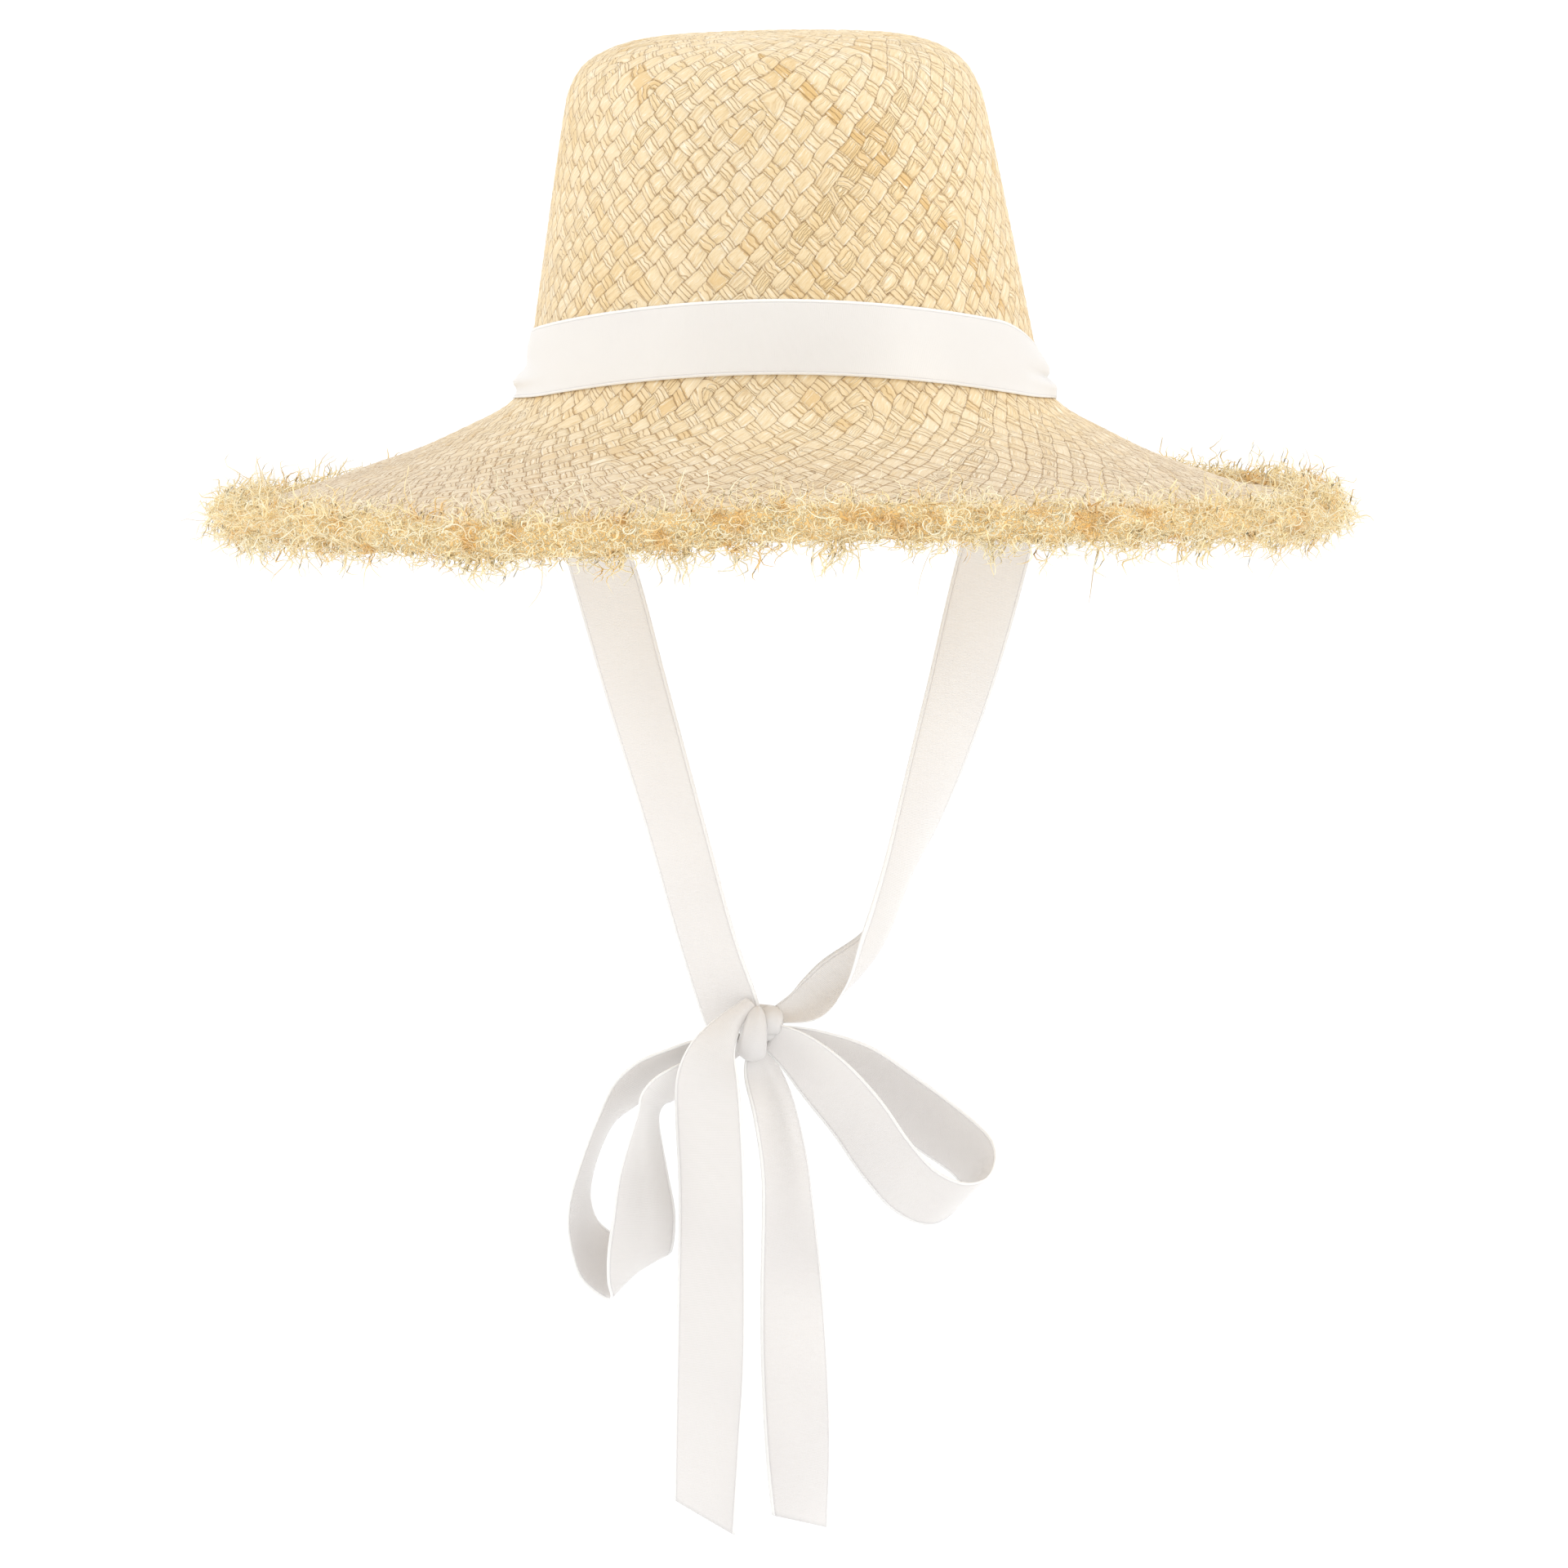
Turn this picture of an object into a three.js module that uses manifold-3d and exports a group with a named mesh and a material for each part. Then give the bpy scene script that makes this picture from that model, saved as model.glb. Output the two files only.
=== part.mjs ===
// A woven straw sun hat with a frayed edge and a satin ribbon tied below it in a bow.
// Millimetres, +Z up. The front is towards -Y. The origin is the middle of the head opening,
// on the line where crown and brim meet, which is where the hat sits on a head.
import * as THREE from "three";
import { mergeVertices } from "three/addons/utils/BufferGeometryUtils.js";
import Module from "manifold-3d";

const wasm = await Module();
wasm.setup();

// Driving dimensions
const WALL = 1.8; // thickness of the woven straw
const RIBBON_WIDTH = 25;
const RIBBON_THICK = 1;
const GAP = 0.3; // between neighbouring pieces
const HEAD_REACH = 89; // half the crown's width where the brim starts
const BRIM_REACH = 185; // half the brim's width, to the straw's edge
const FRONT_BACK_EXTRA = 15; // a head is longer than it is wide, by this at each end
const CROWN_TOP = 125;
const LEAN_AT_BASE = 1.6; // the crown leans: its middle is here at the base
const LEAN_PER_MM = -0.033; // and moves by this for each millimetre up
const TIP_TILT = 0.018; // rise of the flat top for each millimetre to the right
const TIP_START = 100; // height where the tilt sets in
const LIFT_POWER = 1.5; // the brim's waves grow with this power of the way out
const FLIP_POWER = 6; // and the flip of its edge with this one
const BRIM_RIPPLE = 1.2; // height of the small waves in the brim
const RIPPLES_ROUND = 5;
const AROUND = 48; // facets round the crown, brim, fringe and band

// The straw's outer surface from the middle of the top down to the brim's edge:
// reach is half the width at the sides, height is above the head opening.
const PROFILE = [
  { reach: 0, height: CROWN_TOP },
  { reach: 30, height: 124.6 },
  { reach: 46, height: 123 },
  { reach: 57, height: 119.6 },
  { reach: 64.5, height: 114.6 },
  { reach: 69, height: 107.5 },
  { reach: 71.5, height: 99 },
  { reach: 76.8, height: 70 },
  { reach: 82, height: 40 },
  { reach: 86, height: 17 },
  { reach: 88.6, height: 5.5 },
  { reach: 93.5, height: -1 },
  { reach: 100.5, height: -5.8 },
  { reach: 109, height: -10 },
  { reach: 126, height: -18 },
  { reach: 145, height: -25 },
  { reach: 166, height: -32.8 },
  { reach: BRIM_REACH, height: -39.6 },
];
const PROFILE_STEPS = 20;
const STEP_POWER = 1.15; // over 1, the steps are shorter towards the edge

// How far each part of the brim is lifted above an even slope, by azimuth from +X.
const BRIM_LIFT = [
  { azimuth: 0, lift: -3 },
  { azimuth: 45, lift: -1 },
  { azimuth: 90, lift: -3.5 },
  { azimuth: 135, lift: 1 },
  { azimuth: 180, lift: 0.5 },
  { azimuth: 225, lift: 7.5 },
  { azimuth: 270, lift: 12 },
  { azimuth: 315, lift: 7.5 },
];

// How far its last centimetres turn up (or down) besides, by azimuth from +X.
const EDGE_FLIP = [
  { azimuth: 0, flip: 8 },
  { azimuth: 30, flip: 6.5 },
  { azimuth: 60, flip: 3.5 },
  { azimuth: 90, flip: 0 },
  { azimuth: 120, flip: -1 },
  { azimuth: 150, flip: -3.5 },
  { azimuth: 180, flip: 4 },
  { azimuth: 210, flip: 1.5 },
  { azimuth: 240, flip: -1.5 },
  { azimuth: 270, flip: 4.5 },
  { azimuth: 300, flip: 2.5 },
  { azimuth: 330, flip: 6.5 },
];

// The slits at the sides, where the ties go in below the band
const SLIT_HEIGHT = 8;
const SLIT_MIDDLE = 7.2;
const SLIT_LENGTH = RIBBON_WIDTH + 2.4;
const SLIT_DEPTH = 12;

// The band round the crown is highest at the front and the back and dips at the sides.
const BAND_TOP_FRONT = 40;
const BAND_TOP_SIDE = 23.6;
const BAND_STAND_OFF = GAP + 0.2;
// Folds at the sides, evenly from the band's upper edge to its lower edge:
// out is how far the ribbon stands away from the straw there.
const BAND_FOLD = [{ out: 1.8 }, { out: 3.2 }, { out: 3.9 }, { out: 3.3 }, { out: 5.4 }, { out: 1 }];
const BAND_FOLD_REACH = 0.3; // share of a quarter turn that the folds take
const CONE_COSINE = 0.985; // of the crown's slope

// Section of the fringe's backing: out is measured along the brim past its edge,
// up is square to it. A groove in it holds the straw's edge.
const FRINGE_SECTION = [
  { out: -7, up: 1 },
  { out: -6, up: 4 },
  { out: 0, up: 6.5 },
  { out: 6, up: 3.5 },
  { out: 7, up: -2.5 },
  { out: 2, up: -8.5 },
  { out: -4, up: -6 },
  { out: -6.5, up: -2.5 },
];
const GROOVE_HALF = WALL / 2 + GAP + 0.15; // half the groove's height
const GROOVE_SECTION = [
  { out: -14, up: -GROOVE_HALF },
  { out: -14, up: GROOVE_HALF },
  { out: 2 * GAP, up: GROOVE_HALF },
  { out: 2 * GAP, up: -GROOVE_HALF },
];
const LOCK_SIDES = 4;
const LOCK_ROOT = { out: 2.5, up: -0.5 };
const LOCK_SCATTER = { turn: 0.35, rise: 14, long: 0.25, sideways: 0.02 };
const SCATTER_SEED = 7;
// Rows of frayed locks round the edge: rise is the angle above the brim in degrees.
const LOCK_ROWS = [
  { count: 34, rise: 60, long: 10.5, thick: 5 },
  { count: 38, rise: 4, long: 10.5, thick: 5 },
  { count: 34, rise: -60, long: 12.5, thick: 5.2 },
];

// Each stretch of ribbon is a table: the middle of the ribbon (x, y, z), the direction across
// it (ax, ay, az), its width there, and cup, the height of its curl across the width.
const TIE_LEFT = [
  { x: -86.4, y: 0, z: 17, ax: 0, ay: -1, az: 0, width: 25, cup: 0 },
  { x: -87.5, y: 0, z: 9.4, ax: 0, ay: -1, az: 0, width: 25, cup: 0 },
  { x: -82, y: 0, z: 1.5, ax: 0, ay: -1, az: 0, width: 25, cup: 0 },
  { x: -79, y: 0, z: -10, ax: 0.15, ay: -1, az: 0, width: 25, cup: 0.4 },
  { x: -71, y: -1, z: -32, ax: 0.62, ay: -0.78, az: 0, width: 25, cup: 0.8 },
  { x: -61, y: -2, z: -57, ax: 0.9, ay: -0.44, az: 0, width: 25, cup: 1 },
  { x: -49, y: -3, z: -100, ax: 0.88, ay: -0.47, az: 0, width: 25, cup: 0.6 },
  { x: -36.5, y: -3, z: -144, ax: 0.82, ay: -0.57, az: 0, width: 25, cup: 0.6 },
  { x: -25.8, y: -3, z: -183, ax: 0.81, ay: -0.59, az: 0, width: 25, cup: 1 },
  { x: -18.5, y: -2, z: -205, ax: 0.86, ay: -0.5, az: 0.1, width: 22, cup: 1.5 },
  { x: -12, y: -3, z: -213.5, ax: 0.85, ay: -0.4, az: 0.3, width: 12, cup: 2 },
];
const TIE_RIGHT = [
  { x: 88.3, y: 0, z: 17, ax: 0, ay: 1, az: 0, width: 25, cup: 0 },
  { x: 89.9, y: 0, z: 9.4, ax: 0, ay: 1, az: 0, width: 25, cup: 0 },
  { x: 84.4, y: 0, z: 1.5, ax: 0, ay: 1, az: 0, width: 25, cup: 0 },
  { x: 82.4, y: 0, z: -10, ax: 0.2, ay: 1, az: 0, width: 25, cup: 0.4 },
  { x: 78.5, y: -1, z: -32, ax: 0.75, ay: 0.62, az: 0, width: 25, cup: 0.8 },
  { x: 72, y: -2, z: -57, ax: 0.97, ay: 0.24, az: 0, width: 25, cup: 0.8 },
  { x: 60.2, y: -3, z: -102, ax: 0.88, ay: 0.47, az: 0, width: 25, cup: 0.8 },
  { x: 46.2, y: -3, z: -146, ax: 0.63, ay: 0.78, az: 0, width: 25, cup: 1 },
  { x: 36.5, y: -3, z: -170, ax: 0.36, ay: 0.93, az: 0, width: 25, cup: 2 },
  { x: 29.5, y: -3, z: -184, ax: 0.05, ay: 1, az: 0, width: 24, cup: 3.5 },
  { x: 19, y: -4, z: -197.5, ax: -0.38, ay: 0.82, az: 0.38, width: 22, cup: 3.5 },
  { x: 9.5, y: -5, z: -206.5, ax: -0.5, ay: 0.7, az: 0.5, width: 17, cup: 3 },
  { x: -1, y: -6, z: -211, ax: -0.3, ay: 0.7, az: 0.7, width: 9, cup: 1.5 },
];
const LOOP_LEFT = [
  { x: -12.5, y: -4, z: -219, ax: 0.1, ay: 0.7, az: 0.7, width: 9, cup: 1 },
  { x: -24, y: -1, z: -222.5, ax: 0.15, ay: 0.82, az: 0.5, width: 17, cup: 1 },
  { x: -38, y: 4, z: -227, ax: 0.25, ay: 0.92, az: 0.1, width: 24, cup: 0.5 },
  { x: -51.5, y: 7, z: -237.5, ax: 0.31, ay: 0.93, az: -0.19, width: 25, cup: 0.5 },
  { x: -60, y: 8, z: -250, ax: 0.25, ay: 0.96, az: -0.08, width: 25, cup: 0.5 },
  { x: -66.5, y: 8, z: -265, ax: 0.23, ay: 0.97, az: 0, width: 25, cup: 0.5 },
  { x: -69.5, y: 7, z: -279, ax: 0.29, ay: 0.95, az: 0.12, width: 25, cup: 0.5 },
  { x: -68.5, y: 6, z: -290, ax: 0.42, ay: 0.86, az: 0.25, width: 25, cup: 0.5 },
  { x: -63, y: 4, z: -299, ax: 0.6, ay: 0.6, az: 0.5, width: 25, cup: 0.3 },
  { x: -55, y: 0, z: -301.5, ax: 0.75, ay: 0.35, az: 0.56, width: 25, cup: 0.3 },
  { x: -48.8, y: -3, z: -295, ax: 0.82, ay: 0.38, az: 0.4, width: 25, cup: 0.3 },
  { x: -47, y: -5, z: -283, ax: 0.85, ay: 0.52, az: 0.1, width: 25, cup: 0.5 },
  { x: -47.2, y: -5, z: -268, ax: 0.68, ay: 0.73, az: 0, width: 25, cup: 0.5 },
  { x: -46.5, y: -4, z: -254, ax: 0.42, ay: 0.9, az: 0, width: 25, cup: 0.5 },
  { x: -43.5, y: -3, z: -243.5, ax: 0.25, ay: 0.88, az: -0.35, width: 25, cup: 0.5 },
  { x: -36, y: -3, z: -236, ax: 0.1, ay: 0.8, az: -0.56, width: 23, cup: 0.5 },
  { x: -25, y: -3, z: -229, ax: 0, ay: 0.75, az: -0.6, width: 17, cup: 1 },
  { x: -13, y: -3, z: -222, ax: 0, ay: 0.8, az: -0.5, width: 11, cup: 1 },
];
const LOOP_RIGHT = [
  { x: -3, y: -9, z: -218, ax: -0.4, ay: 0.3, az: -0.8, width: 11, cup: 1 },
  { x: 6, y: -11, z: -224, ax: -0.5, ay: 0.35, az: -0.75, width: 17, cup: 1.5 },
  { x: 16, y: -13, z: -233.5, ax: -0.58, ay: 0.45, az: -0.6, width: 23, cup: 1 },
  { x: 26.5, y: -15, z: -245.5, ax: -0.62, ay: 0.5, az: -0.55, width: 25, cup: 0.5 },
  { x: 36, y: -17, z: -259, ax: -0.66, ay: 0.5, az: -0.5, width: 25, cup: 0.5 },
  { x: 46, y: -18, z: -270, ax: -0.6, ay: 0.5, az: -0.6, width: 25, cup: 0.5 },
  { x: 57, y: -17, z: -274.5, ax: -0.5, ay: 0.55, az: -0.65, width: 25, cup: 0.3 },
  { x: 66.5, y: -11, z: -272.5, ax: -0.42, ay: 0.7, az: -0.56, width: 25, cup: 0.3 },
  { x: 70, y: -3, z: -266, ax: -0.42, ay: 0.74, az: -0.5, width: 25, cup: 0.3 },
  { x: 66, y: 4, z: -259.5, ax: -0.5, ay: 0.62, az: -0.58, width: 25, cup: 0.3 },
  { x: 55, y: 8, z: -250.5, ax: -0.55, ay: 0.5, az: -0.65, width: 25, cup: 0.5 },
  { x: 40, y: 8, z: -239.5, ax: -0.55, ay: 0.48, az: -0.68, width: 25, cup: 0.5 },
  { x: 25, y: 5, z: -229, ax: -0.5, ay: 0.45, az: -0.7, width: 23, cup: 1 },
  { x: 11, y: 1, z: -222, ax: -0.4, ay: 0.45, az: -0.8, width: 15, cup: 1 },
  { x: 0, y: -2, z: -218.5, ax: -0.3, ay: 0.4, az: -0.8, width: 8, cup: 0.5 },
];
const TAIL_LEFT = [
  { x: -9, y: -12, z: -212, ax: 0.5, ay: -0.2, az: 0.8, width: 12, cup: 1.5 },
  { x: -17, y: -15, z: -215.5, ax: 0.72, ay: -0.2, az: 0.66, width: 18, cup: 2 },
  { x: -22.6, y: -17, z: -222.5, ax: 0.93, ay: -0.15, az: 0.3, width: 23, cup: 2 },
  { x: -24.6, y: -17, z: -232, ax: 0.95, ay: -0.25, az: 0.1, width: 25, cup: 1.5 },
  { x: -24.3, y: -16, z: -246, ax: 0.93, ay: -0.35, az: 0, width: 25, cup: 1 },
  { x: -23.4, y: -15, z: -274, ax: 0.92, ay: -0.4, az: 0, width: 25, cup: 0.8 },
  { x: -23.8, y: -14, z: -325, ax: 0.95, ay: -0.3, az: 0, width: 25, cup: 0.6 },
  { x: -25, y: -13, z: -358, ax: 0.9, ay: -0.42, az: 0, width: 25, cup: 0.6 },
  { x: -26, y: -12, z: -385, ax: 0.84, ay: -0.52, az: 0, width: 25, cup: 0.6 },
];
const TAIL_RIGHT = [
  { x: -7.5, y: -5, z: -222, ax: 0.75, ay: 0.6, az: 0.1, width: 9, cup: 1.5 },
  { x: -6.5, y: -5, z: -230, ax: 0.72, ay: 0.68, az: 0.15, width: 16, cup: 2 },
  { x: -2.4, y: -7, z: -243, ax: 0.62, ay: 0.77, az: 0.1, width: 22, cup: 1.5 },
  { x: 1.2, y: -7, z: -262, ax: 0.62, ay: 0.78, az: 0, width: 25, cup: 1 },
  { x: 2.6, y: -7, z: -280, ax: 0.7, ay: 0.71, az: 0, width: 25, cup: 1 },
  { x: 4.6, y: -6, z: -325, ax: 0.9, ay: 0.42, az: 0, width: 25, cup: 1 },
  { x: 6, y: -5, z: -358, ax: 0.9, ay: 0.42, az: 0, width: 25, cup: 1.2 },
  { x: 7, y: -5, z: -388, ax: 0.74, ay: 0.66, az: 0, width: 25, cup: 1.5 },
];
const CUT_SLANT = 6.5; // the tails' ends are cut on the slant, longer at their right edge

// The knot's lumps: the wrap in front, the fold beside it and the core behind them.
const KNOT_LUMPS = [
  { x: -9.2, y: -8.5, z: -215.5, wide: 5.4, deep: 6, tall: 9.8, lean: -6 },
  { x: -3.6, y: -7, z: -212.2, wide: 5, deep: 5.5, tall: 5.6, lean: 20 },
  { x: -6.5, y: -4.5, z: -214.5, wide: 7.5, deep: 5.5, tall: 7.5, lean: 0 },
];

// Value at t (0 to 1) of a smooth curve through a column of a table's rows.
function column(rows, name, t, closed = false) {
  const spans = closed ? rows.length : rows.length - 1;
  const place = t * spans;
  const first = Math.min(Math.max(Math.floor(place), 0), spans - 1);
  const f = place - first;
  const at = (i) => {
    if (closed) return rows[(i + rows.length) % rows.length][name];
    if (i < 0) return 2 * rows[0][name] - rows[1][name];
    if (i >= rows.length) return 2 * rows[rows.length - 1][name] - rows[rows.length - 2][name];
    return rows[i][name];
  };
  const [a, b, c, d] = [at(first - 1), at(first), at(first + 1), at(first + 2)];
  const cubic = 3 * b - a - 3 * c + d;
  const square = 2 * a - 5 * b + 4 * c - d;
  return 0.5 * (2 * b + (c - a) * f + square * f * f + cubic * f * f * f);
}

// Straw surface: a point of the profile carried round the head's oval, with lean and waves.
function strawPoint(azimuth, reach, height) {
  const brim = Math.max(0, (reach - HEAD_REACH) / (BRIM_REACH - HEAD_REACH));
  const turn = azimuth / (2 * Math.PI);
  const ripple = BRIM_RIPPLE * Math.sin(RIPPLES_ROUND * azimuth + 1);
  const lift = column(BRIM_LIFT, "lift", turn - Math.floor(turn), true) + ripple;
  const flip = column(EDGE_FLIP, "flip", turn - Math.floor(turn), true);
  const waves = lift * brim ** LIFT_POWER + flip * Math.min(brim, 1) ** FLIP_POWER;
  const lean = (LEAN_AT_BASE + LEAN_PER_MM * Math.max(height, 0)) * Math.max(0, 1 - brim);
  const tip = THREE.MathUtils.smoothstep(height, TIP_START, CROWN_TOP);
  const x = reach * Math.cos(azimuth);
  const deep = reach + FRONT_BACK_EXTRA * Math.min(1, reach / HEAD_REACH);
  return new THREE.Vector3(
    x + lean,
    deep * Math.sin(azimuth),
    height + waves + TIP_TILT * tip * x,
  );
}

// The profile as points that stand closer towards the brim's edge, moved inwards by a distance
// square to the surface.
function profileLine(inwards) {
  const curve = new THREE.SplineCurve(PROFILE.map((p) => new THREE.Vector2(p.reach, p.height)));
  return Array.from({ length: PROFILE_STEPS + 1 }, (_, i) => {
    const share = 1 - (1 - i / PROFILE_STEPS) ** STEP_POWER;
    const p = curve.getPointAt(share);
    const along = curve.getTangentAt(share);
    const moved = new THREE.Vector2(p.x + along.y * inwards, p.y - along.x * inwards);
    if (i === 0) moved.x = 0;
    return moved;
  });
}

// A closed profile, listed clockwise, turned round the axis, and each vertex then placed by its
// azimuth and its point of the profile.
function turned(clockwise, place) {
  const points = [...clockwise].reverse();
  const g = new THREE.LatheGeometry(points, AROUND);
  const p = g.attributes.position;
  for (let i = 0; i < p.count; i++) {
    const step = Math.floor(i / points.length) % AROUND;
    const azimuth = (2 * Math.PI * step) / AROUND;
    const q = place(azimuth, points[i % points.length]);
    p.setXYZ(i, q.x, q.y, q.z);
  }
  return g;
}

// A flat strip bent along its table: across the width, through the thickness and along.
function ribbon(rows, steps, slant = 0) {
  const strip = new THREE.BoxGeometry(1, 1, 1, 2, 1, steps);
  const p = strip.attributes.position;
  const middle = (t) => new THREE.Vector3(...["x", "y", "z"].map((n) => column(rows, n, t)));
  let length = 0;
  for (let i = 0; i < steps; i++) length += middle(i / steps).distanceTo(middle((i + 1) / steps));
  for (let i = 0; i < p.count; i++) {
    const [u, through, z] = [p.getX(i), p.getY(i), p.getZ(i)];
    const t = (z + 0.5) * (1 + (slant * u) / length);
    const along = middle(t + 0.01).sub(middle(t - 0.01)).normalize();
    const across = new THREE.Vector3(...["ax", "ay", "az"].map((n) => column(rows, n, t)));
    across.addScaledVector(along, -across.dot(along)).normalize();
    const out = along.clone().cross(across);
    const curl = column(rows, "cup", t) * (1 - 4 * u * u);
    const q = middle(t).addScaledVector(across, u * column(rows, "width", t));
    q.addScaledVector(out, through * RIBBON_THICK + curl);
    p.setXYZ(i, q.x, q.y, q.z);
  }
  return strip;
}

// A closed geometry as a solid, and a solid as a geometry.
function solid(geometry) {
  const g = geometry.clone().deleteAttribute("normal").deleteAttribute("uv");
  const merged = mergeVertices(g, 1e-4);
  return new wasm.Manifold(
    new wasm.Mesh({
      numProp: 3,
      vertProperties: new Float32Array(merged.attributes.position.array),
      triVerts: new Uint32Array(merged.index.array),
    }),
  );
}
function geometryOf(made) {
  const mesh = made.getMesh();
  const g = new THREE.BufferGeometry();
  g.setAttribute("position", new THREE.BufferAttribute(mesh.vertProperties, 3));
  g.setIndex(new THREE.BufferAttribute(mesh.triVerts, 1));
  g.computeVertexNormals();
  return g;
}

// The crown and brim are one woven shell, slit at each side for the ties.
function crownAndBrim() {
  const section = [...profileLine(0), ...profileLine(WALL).reverse()];
  let straw = solid(turned(section, (azimuth, p) => strawPoint(azimuth, p.x, p.y)));
  for (const side of [-1, 1]) {
    const cutter = new THREE.BoxGeometry(SLIT_DEPTH, SLIT_LENGTH, SLIT_HEIGHT);
    cutter.translate(side * (HEAD_REACH - 1) + LEAN_AT_BASE, 0, SLIT_MIDDLE);
    straw = straw.subtract(solid(cutter));
  }
  return geometryOf(straw);
}

// Frame of the brim's edge in the profile's plane: the edge itself and the way past it.
const EDGE_LINE = profileLine(WALL / 2);
const EDGE = EDGE_LINE[PROFILE_STEPS];
const PAST_EDGE = EDGE.clone().sub(EDGE_LINE[PROFILE_STEPS - 1]).normalize();

function fringePoint(azimuth, out, up) {
  const reach = EDGE.x + PAST_EDGE.x * out - PAST_EDGE.y * up;
  const height = EDGE.y + PAST_EDGE.y * out + PAST_EDGE.x * up;
  return strawPoint(azimuth, reach, height);
}

// A ring round the brim's edge with a section given in (out, up)
function edgeRing(rows) {
  const section = [...rows, rows[0]].map((p) => new THREE.Vector2(p.out + BRIM_REACH, p.up));
  return solid(turned(section, (azimuth, p) => fringePoint(azimuth, p.x - BRIM_REACH, p.y)));
}

// One frayed lock: a pointed cone from inside the backing outwards.
function lock(azimuth, sideways, rise, long, thick) {
  const { out, up } = LOCK_ROOT;
  const root = fringePoint(azimuth, out, up);
  const tip = fringePoint(azimuth + sideways, out + long * Math.cos(rise), long * Math.sin(rise));
  const along = tip.clone().sub(root);
  const cone = new THREE.ConeGeometry(thick, along.length(), LOCK_SIDES);
  cone.translate(0, along.length() / 2, 0);
  const upright = new THREE.Vector3(0, 1, 0);
  cone.applyQuaternion(new THREE.Quaternion().setFromUnitVectors(upright, along.normalize()));
  cone.translate(root.x, root.y, root.z);
  return solid(cone);
}

// The fringe: a backing round the edge with locks fused to it, and a groove for the straw.
// The scatter is seeded, so it is the same each time.
function brimFringe() {
  THREE.MathUtils.seededRandom(SCATTER_SEED);
  const scatter = (size) => size * (2 * THREE.MathUtils.seededRandom() - 1);
  let fringe = edgeRing(FRINGE_SECTION);
  for (const row of LOCK_ROWS) {
    for (let i = 0; i < row.count; i++) {
      const azimuth = (2 * Math.PI * (i + scatter(LOCK_SCATTER.turn))) / row.count;
      const rise = THREE.MathUtils.degToRad(row.rise + scatter(LOCK_SCATTER.rise));
      const long = row.long * (1 + scatter(LOCK_SCATTER.long));
      const sideways = scatter(LOCK_SCATTER.sideways);
      fringe = fringe.add(lock(azimuth, sideways, rise, long, row.thick));
    }
  }
  return geometryOf(fringe.subtract(edgeRing(GROOVE_SECTION)));
}

// The band: a flat ribbon round the cone of the crown, folded where it meets the slits.
// Its section has the ribbon's face at x = RIBBON_THICK and its back at 0; y is 1 at the top.
function hatBand() {
  const levels = BAND_FOLD.map((fold, i) => 1 - i / (BAND_FOLD.length - 1));
  const face = levels.map((y) => new THREE.Vector2(RIBBON_THICK, y));
  const back = levels.map((y) => new THREE.Vector2(0, y)).reverse();
  const place = (azimuth, p) => {
    const quarter = Math.acos(Math.abs(Math.sin(azimuth))) / (Math.PI / 2); // 0 front, 1 side
    const dip = 0.5 * Math.cos(azimuth) ** 2 + 0.5 * quarter ** 2;
    const top = THREE.MathUtils.lerp(BAND_TOP_FRONT, BAND_TOP_SIDE, dip);
    const height = top - (1 - p.y) * RIBBON_WIDTH * CONE_COSINE;
    const folded = THREE.MathUtils.smoothstep(quarter, 1 - BAND_FOLD_REACH, 1);
    const out = BAND_STAND_OFF + folded * column(BAND_FOLD, "out", 1 - p.y) + p.x;
    return strawPoint(azimuth, crownReach(height) + out, height);
  };
  return turned([...face, ...back, face[0].clone()], place);
}

// Half the crown's width at a height on its straight side or the curve into the brim.
function crownReach(height) {
  const line = profileLine(0);
  const i = line.findIndex((p, n) => n > 0 && p.y < height);
  const [above, below] = [line[i - 1], line[i]];
  return THREE.MathUtils.lerp(above.x, below.x, (above.y - height) / (above.y - below.y));
}

// The knot is a small lump of folded ribbon, here as large as it is or grown by a gap.
function lumps(grow) {
  let made = null;
  for (const k of KNOT_LUMPS) {
    const g = new THREE.SphereGeometry(1, 10, 8);
    g.scale(k.wide + grow, k.deep + grow, k.tall + grow);
    g.rotateY(THREE.MathUtils.degToRad(k.lean));
    g.translate(k.x, k.y, k.z);
    made = made ? made.add(solid(g)) : solid(g);
  }
  return made;
}

// A stretch of ribbon that stops just short of the knot
const KNOT_SPACE = lumps(GAP);
function stretch(rows, steps, slant = 0) {
  const parts = solid(ribbon(rows, steps, slant)).subtract(KNOT_SPACE).decompose();
  return geometryOf(parts.sort((a, b) => b.volume() - a.volume())[0]);
}

const STRAW = new THREE.MeshStandardMaterial({ color: 0xefd9ac, roughness: 0.75, metalness: 0 });
const FRAYED = new THREE.MeshStandardMaterial({ color: 0xe3c382, roughness: 0.85, metalness: 0 });
const SATIN = new THREE.MeshStandardMaterial({ color: 0xf4f2ef, roughness: 0.42, metalness: 0 });

const hat = new THREE.Group();
function piece(name, geometry, material) {
  const mesh = new THREE.Mesh(geometry, material.clone());
  mesh.name = name;
  hat.add(mesh);
}

piece("crown_and_brim", crownAndBrim(), STRAW);
piece("brim_fringe", brimFringe(), FRAYED);
piece("hat_band", hatBand(), SATIN);
piece("tie_left", stretch(TIE_LEFT, 26), SATIN);
piece("tie_right", stretch(TIE_RIGHT, 32), SATIN);
piece("bow_knot", geometryOf(lumps(0)), SATIN);
piece("bow_loop_left", stretch(LOOP_LEFT, 34), SATIN);
piece("bow_loop_right", stretch(LOOP_RIGHT, 32), SATIN);
piece("tail_left", stretch(TAIL_LEFT, 16, CUT_SLANT), SATIN);
piece("tail_right", stretch(TAIL_RIGHT, 15, CUT_SLANT), SATIN);

export default hat;
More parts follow.
